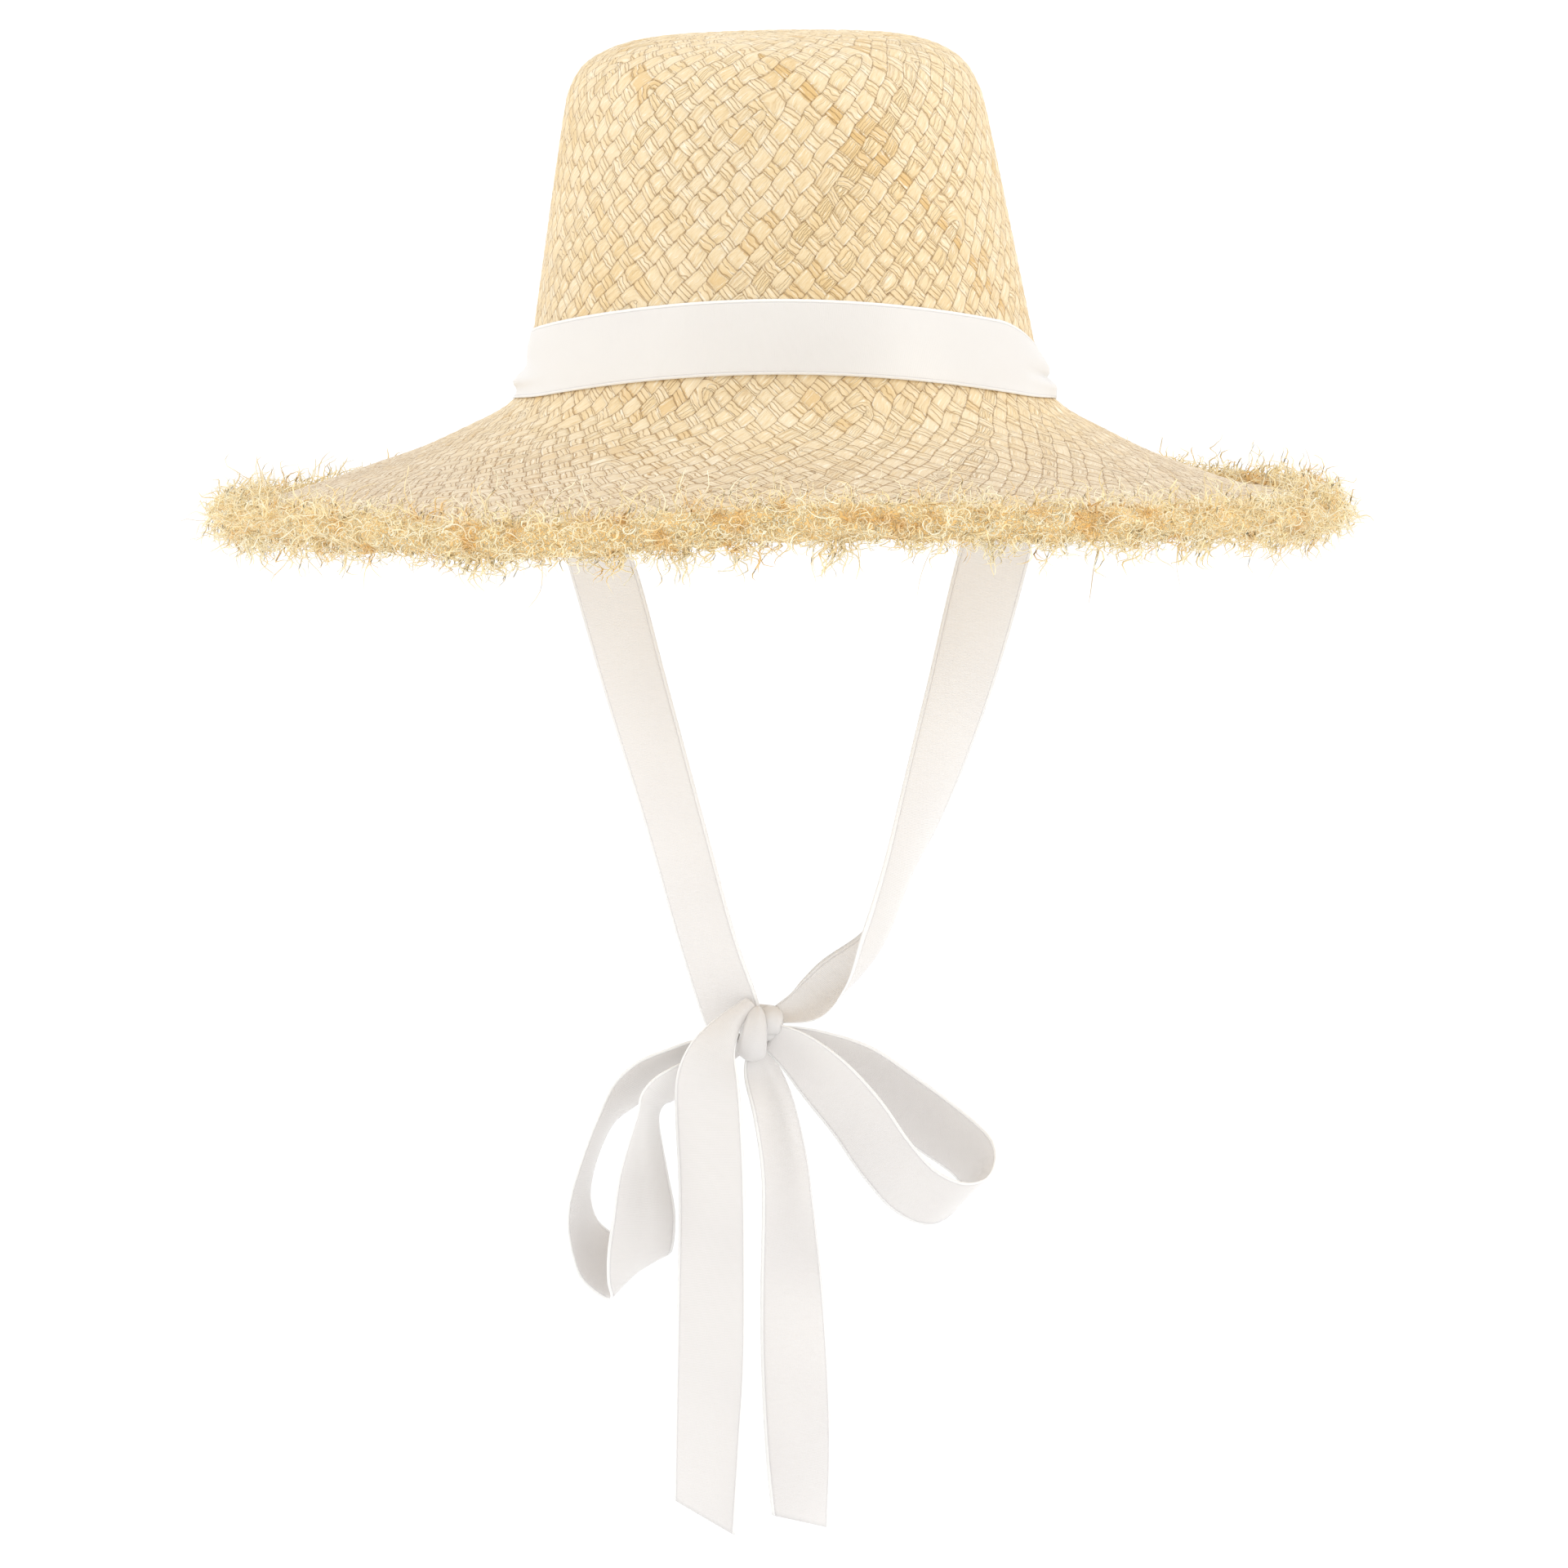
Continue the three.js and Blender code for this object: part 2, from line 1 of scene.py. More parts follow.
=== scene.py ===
# %% [markdown]
# # A floppy sun hat
#
# A straw hat woven by hand on the diagonal, with its brim's edge left frayed, and a satin
# ribbon round the crown that ties below it in a bow. It hangs as if a head held it. The
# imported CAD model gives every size. Here each part is dressed: woven straw, loose fibres,
# ribbon with ribs and firm edges. Millimetres are used in the tables, metres in Blender.

import bpy
import numpy as np
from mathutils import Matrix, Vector


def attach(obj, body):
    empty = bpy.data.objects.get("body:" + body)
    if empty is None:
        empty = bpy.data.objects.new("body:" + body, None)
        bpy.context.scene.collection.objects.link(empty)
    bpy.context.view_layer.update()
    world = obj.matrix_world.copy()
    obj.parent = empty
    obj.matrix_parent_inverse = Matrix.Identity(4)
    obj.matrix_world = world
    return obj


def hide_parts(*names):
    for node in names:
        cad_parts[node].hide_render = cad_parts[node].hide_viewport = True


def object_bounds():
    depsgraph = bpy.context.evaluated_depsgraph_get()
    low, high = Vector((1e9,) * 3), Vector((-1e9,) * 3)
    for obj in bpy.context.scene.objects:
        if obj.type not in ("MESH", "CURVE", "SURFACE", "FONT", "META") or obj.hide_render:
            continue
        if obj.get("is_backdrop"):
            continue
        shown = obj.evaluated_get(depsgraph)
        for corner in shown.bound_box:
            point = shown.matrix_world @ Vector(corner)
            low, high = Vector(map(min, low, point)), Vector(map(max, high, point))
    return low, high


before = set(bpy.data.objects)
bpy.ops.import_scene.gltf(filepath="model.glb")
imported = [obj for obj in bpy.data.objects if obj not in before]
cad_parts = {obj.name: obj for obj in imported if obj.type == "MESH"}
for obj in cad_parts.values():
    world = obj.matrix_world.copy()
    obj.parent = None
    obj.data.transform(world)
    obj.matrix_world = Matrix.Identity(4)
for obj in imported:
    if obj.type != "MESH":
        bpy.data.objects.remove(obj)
cad_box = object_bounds()
MM = 0.001
print("CAD nodes:", sorted(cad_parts))

# %% [markdown]
# ## Camera and light
#
# The hat is seen from the front and a little from above, with a long lens, so that near and
# far parts keep their sizes. The floor lies well below it, and the light is a pale sky all
# round with a soft lamp at each side, as in a white studio.

# %% Camera
CAMERA_PLACE = np.array([0.00126, -3.0, 0.21])
CAMERA_TARGET = np.array([0.00126, 0.0, -0.132])
CAMERA_LENS = 202.2


def new_object(name, data):
    """An object of the scene that holds a mesh, lamp or camera."""
    made = bpy.data.objects.new(name, data)
    scene.collection.objects.link(made)
    return made


def look_at(thing, place, target):
    """Puts a camera or lamp at a place and turns its -Z axis towards the target."""
    thing.location = place
    way = Vector(target) - Vector(place)
    thing.rotation_euler = way.to_track_quat("-Z", "Y").to_euler()


scene = bpy.context.scene
camera_data = bpy.data.cameras.new("camera")
camera_data.lens = CAMERA_LENS
camera_data.sensor_width = 36
camera_data.clip_end = 200
scene.camera = new_object("camera", camera_data)
look_at(scene.camera, CAMERA_PLACE, CAMERA_TARGET)

# %% [markdown]
# ## Shader sums written as Python
#
# A material is a net of nodes. Wrapping a socket in a small class lets a sum such as
# `1 - mask` add its own Math nodes, so a pattern reads as the formula that it is.


# %% A socket that can be added and multiplied
class Wire:
    """An output socket of a material. Operators on it add Math nodes; node() adds any other."""

    def __init__(self, tree, socket):
        self.tree = tree
        self.socket = socket

    def node(self, kind, settings=None, output=0, **inputs):
        """Adds a node: its settings first, then values or wires for its sockets. A socket is
        named, with _ for a space, or numbered as in_3."""
        made = self.tree.nodes.new(kind)
        for name, value in (settings or {}).items():
            setattr(made, name, value)
        for name, value in inputs.items():
            key = int(name[3:]) if name.startswith("in_") else name.replace("_", " ")
            if isinstance(value, Wire):
                self.tree.links.new(value.socket, made.inputs[key])
            else:
                made.inputs[key].default_value = value
        return Wire(self.tree, made.outputs[output])

    def math(self, operation, *others):
        """A Math node with this value first and the others after it."""
        inputs = {f"in_{i + 1}": other for i, other in enumerate(others)}
        return self.node("ShaderNodeMath", {"operation": operation}, in_0=self, **inputs)

    def __abs__(self):
        return self.math("ABSOLUTE")

    def smooth(self, low, high, start=0.0, end=1.0):
        """Rises smoothly from start to end while this value goes from low to high."""
        sockets = {"From_Min": low, "From_Max": high, "To_Min": start, "To_Max": end}
        kind = {"interpolation_type": "SMOOTHSTEP"}
        return self.node("ShaderNodeMapRange", kind, Value=self, **sockets)

    def mixed(self, first, second):
        """The first colour where this value is 0, the second where it is 1. A colour is a wire
        or three numbers of 0 to 255, as on a screen."""
        one, two = (c if isinstance(c, Wire) else light_of(*c) for c in (first, second))
        kind = {"data_type": "RGBA"}
        return self.node("ShaderNodeMix", kind, output=2, in_0=self, in_6=one, in_7=two)

    def parts(self):
        """The three numbers of a vector."""
        first = self.node("ShaderNodeSeparateXYZ", in_0=self)
        outputs = first.socket.node.outputs
        return [Wire(self.tree, outputs[i]) for i in range(3)]

    def vector(self, x, y, z):
        """A vector from three numbers."""
        return self.node("ShaderNodeCombineXYZ", in_0=x, in_1=y, in_2=z)

    def noise(self, scale=1.0, detail=2.0, roughness=0.5):
        """A smooth random number, 0 to 1, at this vector times the scale."""
        inputs = {"Scale": scale, "Detail": detail, "Roughness": roughness}
        return self.node("ShaderNodeTexNoise", Vector=self, **inputs)

    def attribute(self, key):
        """The three numbers of one of the mesh's vector attributes."""
        kind = {"attribute_type": "GEOMETRY", "attribute_name": key}
        return self.node("ShaderNodeAttribute", kind, output=1).parts()


def add_operator(word, operation):
    """Gives the class an operator, such as + for ADD, and its form with the number first."""
    kind = {"operation": operation}
    setattr(Wire, f"__{word}__", lambda a, b: a.node("ShaderNodeMath", kind, in_0=a, in_1=b))
    setattr(Wire, f"__r{word}__", lambda a, b: a.node("ShaderNodeMath", kind, in_0=b, in_1=a))


add_operator("add", "ADD")
add_operator("sub", "SUBTRACT")
add_operator("mul", "MULTIPLY")
add_operator("truediv", "DIVIDE")
add_operator("pow", "POWER")


def light_of(red, green, blue):
    """A screen colour of 0 to 255 as Blender's linear light, with full opacity."""
    screen = np.array([red, green, blue]) / 255
    linear = np.where(screen < 0.04045, screen / 12.92, ((screen + 0.055) / 1.055) ** 2.4)
    return (*linear.tolist(), 1.0)


def new_finish(name, **values):
    """A material with a Principled shader and these values on its sockets, with _ for a space
    in their names. Gives the material, the shader and a wire with the place on the object."""
    material = bpy.data.materials.new(name)
    material.use_nodes = True
    shader = material.node_tree.nodes["Principled BSDF"]
    for key, value in values.items():
        shader.inputs[key.replace("_", " ")].default_value = value
    first = Wire(material.node_tree, None)
    return material, shader, first.node("ShaderNodeTexCoord", output=3)


def plug(shader, name, wire):
    """Links a wire to a socket of the shader."""
    wire.tree.links.new(wire.socket, shader.inputs[name])


def emboss(shader, relief, distance, strength=1.0):
    """Makes the surface look raised where the relief is high, by this many millimetres."""
    values = {"Distance": distance * MM, "Strength": strength}
    plug(shader, "Normal", relief.node("ShaderNodeBump", Height=relief, **values))


# %% [markdown]
# ## Smooth tables
#
# The shapes are short tables joined by smooth curves, worked out for whole arrays at a time.


# %% A smooth curve through the rows of a table
def column(rows, place, closed=False):
    """Smooth curve through evenly numbered rows. Between two rows it is the cubic that passes
    through both, with the slopes that their neighbours give. Beyond each end of an open table
    stands one more row, mirrored through the last."""
    rows = np.asarray(rows, float)
    place = np.asarray(place, float)
    if closed:
        padded = np.concatenate([rows[-1:], rows, rows[:2]])
        spans = len(rows)
    else:
        before, after = 2 * rows[:1] - rows[1:2], 2 * rows[-1:] - rows[-2:-1]
        padded = np.concatenate([before, rows, after])
        spans = len(rows) - 1
    first = np.clip(np.floor(place).astype(int), 0, spans - 1)
    f = (place - first).reshape(place.shape + (1,) * (rows.ndim - 1))
    a, b, c, d = (padded[first + k] for k in range(4))
    cubic = 3 * b - a - 3 * c + d
    square = 2 * a - 5 * b + 4 * c - d
    return 0.5 * (2 * b + (c - a) * f + square * f**2 + cubic * f**3)


def unit(vectors):
    """Vectors brought to length 1."""
    return vectors / (np.linalg.norm(vectors, axis=-1, keepdims=True) + 1e-12)


def smoothstep(low, high, value):
    """0 below low, 1 above high, and a smooth rise between."""
    t = np.clip((value - low) / (high - low), 0, 1)
    return t * t * (3 - 2 * t)


# %% [markdown]
# ## The shape of the straw
#
# Crown and brim are one woven shell. Its outer line is a profile from the middle of the top
# down to the brim's edge, carried round the oval of a head, with a lean, a slightly tilted
# top and slow waves in the brim.

# %% Sizes of the straw
WALL = 1.8
HEAD_REACH = 89.0
BRIM_REACH = 185.0
FRONT_BACK_EXTRA = 15.0
LEAN_AT_BASE = 1.6
LEAN_PER_MM = -0.033
TIP_TILT = 0.018
TIP_START = 100.0
CROWN_TOP = 125.0
LIFT_POWER = 1.5
FLIP_POWER = 6
BRIM_RIPPLE = 1.2
RIPPLES_ROUND = 5
PROFILE = [
    (0, 125), (30, 124.6), (46, 123), (57, 119.6), (64.5, 114.6), (69, 107.5), (71.5, 99),
    (76.8, 70), (82, 40), (86, 17), (88.6, 5.5), (93.5, -1), (100.5, -5.8), (109, -10),
    (126, -18), (145, -25), (166, -32.8), (185, -39.6),
]  # reach from the middle, height above the head opening
BRIM_LIFT = [-3, -1, -3.5, 1, 0.5, 7.5, 12, 7.5]  # every 45 degrees round from +X
EDGE_FLIP = [8, 6.5, 3.5, 0, -1, -3.5, 4, 1.5, -1.5, 4.5, 2.5, 6.5]  # every 30 degrees

profile_fine = column(PROFILE, np.linspace(0, len(PROFILE) - 1, 4000))
profile_length = np.concatenate(
    [[0], np.cumsum(np.linalg.norm(np.diff(profile_fine, axis=0), axis=1))]
)
STRAW_LENGTH = profile_length[-1]


def profile_at(along):
    """Reach and height of the profile, this many millimetres along it from the top."""
    reach = np.interp(along, profile_length, profile_fine[:, 0])
    height = np.interp(along, profile_length, profile_fine[:, 1])
    return reach, height


def straw_point(azimuth, reach, height):
    """The profile's point carried round. Sideways it is reach times the cosine of the azimuth,
    plus the lean. Front to back the reach is longer by the oval's extra. The brim's lift grows
    with the 1.5th power of the way out, its edge's flip with the 6th and no further than
    the edge, and the top tilts with x."""
    brim = np.maximum(0, (reach - HEAD_REACH) / (BRIM_REACH - HEAD_REACH))
    turn = azimuth / (2 * np.pi)
    lift = column(BRIM_LIFT, (turn - np.floor(turn)) * len(BRIM_LIFT), closed=True)
    lift = lift + BRIM_RIPPLE * np.sin(RIPPLES_ROUND * azimuth + 1)
    flip = column(EDGE_FLIP, (turn - np.floor(turn)) * len(EDGE_FLIP), closed=True)
    waves = lift * brim**LIFT_POWER + flip * np.minimum(brim, 1) ** FLIP_POWER
    lean = (LEAN_AT_BASE + LEAN_PER_MM * np.maximum(height, 0)) * np.maximum(0, 1 - brim)
    tip = smoothstep(TIP_START, CROWN_TOP, height)
    x = reach * np.cos(azimuth)
    deep = reach + FRONT_BACK_EXTRA * np.minimum(1, reach / HEAD_REACH)
    z = height + waves + TIP_TILT * tip * x
    return np.stack([x + lean, deep * np.sin(azimuth), z], -1)


def straw_surface(azimuth, along, out):
    """A point of the straw moved out of its surface, square to it, by a distance."""
    step = 0.2
    point = straw_point(azimuth, *profile_at(along))
    down = straw_point(azimuth, *profile_at(along + step))
    up = straw_point(azimuth, *profile_at(along - step))
    right = straw_point(azimuth + 0.002, *profile_at(along))
    left = straw_point(azimuth - 0.002, *profile_at(along))
    return point + unit(np.cross(down - up, right - left)) * out[..., None]


print(f"straw from top to edge: {STRAW_LENGTH:.0f} mm")

# %% [markdown]
# ## The weave
#
# Every strand runs at 45 degrees to the way out from the middle, wide ones one way and
# narrow ones the other, and they pass over and under by turns. The cells keep their size
# from the crown to the brim, so a weaver adds strands on the way out, two at a time. A
# phase does the same: it counts strands round the hat, and each place where a pair starts
# is a point that the phase winds round once.

# %% Strand phases
PITCH = 5.6  # from one strand to the next
FIRST_STRANDS = 4  # round the middle of the top
GOLDEN_TURN = np.pi * (3 - np.sqrt(5))
WOBBLE = 0.022  # how far hand work strays, in pairs of strands
WOBBLES = [(17, 0.21, 1.0), (29, -0.13, 2.3), (41, 0.37, 0.4), (11, -0.42, 1.7)]

reach_fine = profile_fine[:, 0] + FRONT_BACK_EXTRA / 2 * np.minimum(
    1, profile_fine[:, 0] / HEAD_REACH
)
turn_depth = np.concatenate(
    [[0], np.cumsum(np.diff(profile_length) / np.maximum(reach_fine[1:], 2.0))]
)


def pair_starts(offset):
    """Where strand pairs start: one each time the way round has grown by two strands' room,
    and each a golden turn on from the last, which spreads them evenly."""
    room = PITCH * np.sqrt(2) / (2 * np.pi)
    count = int((reach_fine[-1] / room - FIRST_STRANDS) / 2)
    reach = (FIRST_STRANDS + 2 * np.arange(1, count + 1) - 1) * room
    depth = np.interp(reach, reach_fine, turn_depth)
    azimuth = offset + GOLDEN_TURN * np.arange(count)
    return azimuth, depth


def strand_phase(azimuth, along, way, starts):
    """Half the number of strands counted up to a point, for strands that turn one way (1) or
    the other (-1). It is the count round the hat, plus half a turn's angle round each pair
    start, plus the length along the profile over the strands' spacing, plus a slight wobble."""
    depth = np.interp(along, profile_length, turn_depth)
    phase = way * along / (2 * np.sqrt(2) * PITCH)
    for waves, per_mm, shift in WOBBLES:
        phase = phase + WOBBLE * np.sin(waves * azimuth + way * per_mm * along + shift * (way + 3))
    phase = phase + (FIRST_STRANDS + len(starts[0])) / 2 * azimuth / (2 * np.pi)
    for start_azimuth, start_depth in zip(*starts):
        a = (azimuth - start_azimuth) / 2
        b = (depth - start_depth) / 2
        phase = phase - np.arctan2(np.cos(a) * np.tanh(b), np.sin(a)) / (2 * np.pi)
    return phase


WIDE_STARTS = pair_starts(0.3)
NARROW_STARTS = pair_starts(2.1)
print("strand pairs added:", len(WIDE_STARTS[0]), "each way")

# %% [markdown]
# Strands pass over and under by turns, so the cloth's face is a field of small pillows, whose
# soft form the mesh takes. The steps from strand to strand are thinner than its cells, so
# the material works them out from the same phases.

# %% Height of the weave
WIDE_SHARE = 0.99  # of the pitch that a wide strand fills
NARROW_SHARE = 0.84
SLIMMER = 0.08  # how much less the slimmest strands fill
BULGE = 0.03  # how far a strand spreads over its neighbour where it lies on top
OVER_UNDER = 0.34  # rise and fall of a strand
STEEP = 2.4  # how fast it dives at the end of a float
ARCH = 0.13
GAP_DEPTH = -0.42
PILLOW = 0.42
STRAND_ROUNDS = 400  # steps in which the lowest index spreads along a strand
STRAND_NUMBERS = 250
DARK_STRAND = 255  # number of the one strand of darker leaf, above all others


def pillows(wide_phase, narrow_phase):
    """Soft height of the cloth: the mean of both phases' squared sines, 1 in the middle of each
    cell and 0 at its corners."""
    wide, narrow = np.sin(2 * np.pi * wide_phase), np.sin(2 * np.pi * narrow_phase)
    return PILLOW * (wide**2 + narrow**2 - 1) / 2


def neighbours(shape):
    """The four steps to a cell's neighbours, with a mask of where each is a true one. The grid
    is closed from side to side and open at its first and last rows."""
    for axis, step in ((0, 1), (0, -1), (1, 1), (1, -1)):
        true = np.ones(shape, bool)
        if axis == 0:
            true[0 if step == 1 else -1] = False
        yield axis, step, true


def strand_numbers(inside, rng):
    """A random whole number for each strand. Points inside that touch share the lowest index
    among them, which draws the number. Points outside then take it from their neighbours,
    so that it changes only where another strand lies on top."""
    index = np.arange(inside.size).reshape(inside.shape)
    for _ in range(STRAND_ROUNDS):
        before = index
        for axis, step, true in neighbours(inside.shape):
            same = true & inside & np.roll(inside, step, axis)
            index = np.where(same, np.minimum(index, np.roll(index, step, axis)), index)
        if np.array_equal(before, index):
            break
    number = rng.integers(0, STRAND_NUMBERS, inside.size)[index]
    known = inside.copy()
    for _ in range(4):
        for axis, step, true in neighbours(inside.shape):
            taken = true & ~known & np.roll(known, step, axis)
            number = np.where(taken, np.roll(number, step, axis), number)
            known = known | taken
    return number


# %% [markdown]
# ## Meshes from grids
#
# A shape is a grid of points. Its cells become faces, an outer and an inner grid joined
# along their edges become a shell, and attributes carry numbers to the materials.


# %% Grid meshes
def listed(*grids):
    """Grids of numbers as one list of rows, with a column for each grid."""
    return np.stack(grids, axis=-1).reshape(-1, len(grids))


def grid_faces(rows, columns, closed):
    """Corners of each cell of a grid, row by row: down first, then across."""
    i = np.arange(rows - 1)[:, None]
    j = np.arange(columns if closed else columns - 1)[None, :]
    k = (j + 1) % columns
    down = i + 1
    return listed(i * columns + j, down * columns + j, down * columns + k, i * columns + k)


def shell_faces(rows, columns, closed):
    """Faces of two grids, the outer first: the inner ones turned round, and strips that join
    the first rows, the last rows and, on an open grid, the sides."""
    outer = grid_faces(rows, columns, closed)
    inner = outer[:, ::-1] + rows * columns
    j = np.arange(columns if closed else columns - 1)
    k = (j + 1) % columns
    shift, last = rows * columns, (rows - 1) * columns
    strips = [
        listed(j, k, k + shift, j + shift),
        listed(last + k, last + j, last + j + shift, last + k + shift),
    ]
    if not closed:
        i = np.arange(rows - 1) * columns
        strips.append(listed(i + columns, i, i + shift, i + columns + shift))
        i, below = i + columns - 1, i + 2 * columns - 1
        strips.append(listed(i, below, below + shift, i + shift))
    return np.concatenate([outer, inner, *strips])


def make_piece(name, points, faces, uv=None, **attributes):
    """A piece from points in millimetres and faces, smooth, with vector attributes on its
    points, and a UV map from one pair of numbers for each point."""
    mesh = bpy.data.meshes.new(name)
    faces = faces if isinstance(faces, list) else faces.tolist()
    mesh.from_pydata((points.reshape(-1, 3) * MM).tolist(), [], faces)
    for key, values in attributes.items():
        made = mesh.attributes.new(key, "FLOAT_VECTOR", "POINT")
        made.data.foreach_set("vector", values.astype(np.float32).ravel())
    if uv is not None:
        corner = np.zeros(len(mesh.loops), np.int32)
        mesh.loops.foreach_get("vertex_index", corner)
        layer = mesh.uv_layers.new(name="cloth")
        layer.data.foreach_set("uv", uv[corner].astype(np.float32).ravel())
    mesh.shade_smooth()
    mesh.update()
    return new_object(name, mesh)


def dress(piece, finish, node):
    """Gives a piece its finish, puts it under the root body, and hides the CAD node that it stands
    for.
    """
    piece.data.materials.append(finish)
    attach(piece, "root")
    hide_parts(node)


# %% [markdown]
# ## Straw finish
#
# Straw is split palm leaf: pale cream strips with fine lengthwise fibres, some turned golden
# or tan. The finish works out the over and under sum for every pixel, so each strip gets its
# own fibres, tone and thin brown shadow where it dives under the next.


# %% Woven straw material
def woven_straw():
    """Straw strips. The strand phases come in as cosines and sines, which stay smooth between
    points; their angle gives the place across each strip. The strands' numbers come in
    twice, for even and odd strands, and the sign of the sine picks the right one."""
    material, shader, place = new_finish("woven straw", Roughness=0.56)
    ripple = place.noise(330, 1) - 0.5

    def family(sines, other_sines, even, odd, side):
        cosine, sine = sines
        length = (cosine * cosine + sine * sine) ** 0.5
        other_cosine, other_sine = other_sines
        spread = (other_sine * 2.0).math("TANH") * cosine / length * (side * BULGE)
        turn = sine.math("ARCTAN2", cosine) / np.pi + ripple * 0.14 + spread
        upper = (turn * np.pi).math("SINE").math("GREATER_THAN", 0.0)
        return turn, (odd + upper * (even - odd)).math("ROUND")

    def chance(first, second, salt):
        return place.node("ShaderNodeTexWhiteNoise", Vector=place.vector(first, second, salt))

    def strand(own, other, width, side):
        across = abs(abs(own) * 2 - 1)
        over = (own * np.pi).math("SINE").math("SIGN") * side
        wave = ((other * np.pi).math("SINE") * STEEP).math("TANH") * over * OVER_UNDER
        fall = across.smooth(width - 0.04, width + 0.04, 0, 1.6)
        return across, wave, wave + (1 - across**6) * ARCH - fall

    wide_odd, narrow_odd, _ = place.attribute("odd_strands")
    *wide_sines, wide_even = place.attribute("wide_strand")
    *narrow_sines, narrow_even = place.attribute("narrow_strand")
    wide, wide_number = family(wide_sines, narrow_sines, wide_even, wide_odd, 1)
    narrow, narrow_number = family(narrow_sines, wide_sines, narrow_even, narrow_odd, -1)
    wide_width = WIDE_SHARE - chance(wide_number, 0.0, 1.0) * SLIMMER
    narrow_width = NARROW_SHARE - chance(narrow_number, 0.0, 2.0) * SLIMMER * 1.6
    wide_across, wide_wave, wide_high = strand(wide, narrow, wide_width, 1)
    narrow_across, narrow_wave, narrow_high = strand(narrow, wide, narrow_width, -1)
    wide_shows = wide_high.math("GREATER_THAN", narrow_high)
    top = wide_high.math("MAXIMUM", narrow_high).math("MAXIMUM", GAP_DEPTH)

    def pick(if_wide, if_narrow):
        return wide_shows * (if_wide - if_narrow) + if_narrow

    own_across, own_width = pick(wide_across, narrow_across), pick(wide_width, narrow_width)
    gone = pick(narrow_across - narrow_width, wide_across - wide_width)
    own_wave = pick(wide_wave, narrow_wave)
    # Painted shadow: thin lines on a strand along the edges of the strand lying on it, and across it
    # where it dives under the next.
    side_shadow = own_across.smooth(own_width - 0.1, own_width - 0.01)
    end_shadow = abs(gone).smooth(0.16, 0.04) * own_wave.smooth(0.15, 0.02) * pick(1.0, 0.7)
    line = (side_shadow * 0.55).math("MAXIMUM", end_shadow)

    own_number = pick(wide_number, narrow_number)
    tone = chance(own_number, 0.0, 3.0)
    cell = chance(wide_number, narrow_number, 4.0)
    along, across = pick(abs(narrow), abs(wide)), pick(abs(wide), abs(narrow))
    salt = own_number * 3.7
    fibre = place.vector(across * 8, along * 0.9 + cell * 9, salt).noise(1, 3, 0.65)
    split_at = place.vector(across * 5.5, along * 0.35 + cell * 5, salt).noise(1, 0)
    split = split_at.smooth(0.43, 0.5) - split_at.smooth(0.5, 0.57)
    split = split * tone.smooth(0.3, 1.0)
    beside = ((across * 3 + cell * 0.5 + ripple).math("FRACT") - 0.5).math("ABSOLUTE")
    beside = beside.smooth(0.36, 0.49) * fibre.smooth(0.3, 0.5)
    split = pick(split, beside)

    patch = place.noise(14, 3)
    warm = tone * 0.35 + cell * 0.4 + patch.smooth(0.35, 0.7) * 0.3
    colour = warm.mixed((241, 224, 191), (232, 204, 152))
    gold = cell.smooth(0.9, 0.97) * 0.5
    gold = gold.math("MAXIMUM", own_number.smooth(STRAND_NUMBERS + 1, DARK_STRAND - 2) * 0.9)
    colour = gold.mixed(colour, (222, 184, 120))
    # Painted shade: lower down, on the brim, the straw is mixed greyer, and its split and shadow
    # lines are drawn darker.
    low = place.parts()[2].smooth(0.004, -0.024) * 0.78
    colour = low.mixed(colour, (219, 201, 174))
    colour = (fibre.smooth(0.5, 0.72) * 0.55).mixed(colour, (214, 178, 118))
    # Pale fibre streaks, near white: partly the straw's own paler fibres, partly painted highlight.
    colour = (fibre.smooth(0.47, 0.3) * 0.75).mixed(colour, (250, 242, 222))
    colour = (split * (pick(0.35, 0.6) + low * 0.3)).mixed(colour, (172, 130, 76))
    # Painted shadow: the thin lines are mixed brown.
    colour = (line * (low * 0.42 + 0.5)).mixed(colour, (166, 122, 68))
    # Painted shade: deep in the gaps, where no strand lies on top, the colour goes dark brown.
    colour = (top.smooth(-0.3, GAP_DEPTH) * 0.55).mixed(colour, (150, 110, 62))
    plug(shader, "Base Color", colour)
    emboss(shader, top * 0.85 - fibre * 0.2 - split * 0.2, 1)
    return material


# %% [markdown]
# ## Crown and brim
#
# The shell is cut into two pieces below the ribbon band, where nobody sees the join, so
# that each keeps a fair number of faces. The weave stands out of both its faces.

# %% Crown and brim pieces
CROWN_START = 0.6  # from the middle of the top to the first ring of points
JOIN_HEIGHT = 19.0
DARK_HEIGHT = 105.8
DARK_TURN = -76.1 / 360 % 1  # degrees round, as a share of a whole turn
JOIN_ALONG, DARK_ALONG = np.interp(
    [-JOIN_HEIGHT, -DARK_HEIGHT], -profile_fine[:, 1], profile_length
).tolist()
straw_rng = np.random.default_rng(11)
straw_finish = woven_straw()


def strand_numbers_of(phase, here):
    """The numbers of a family's even and odd strands at every point. The strand that holds the
    grid cell named by here, if any, becomes the dark one."""
    high = np.sin(2 * np.pi * phase) > 0
    numbers = []
    for inside in (high, ~high):
        number = strand_numbers(inside, straw_rng)
        if here is not None and inside[here]:
            number = np.where(number == number[here], DARK_STRAND, number)
        numbers.append(number)
    return numbers


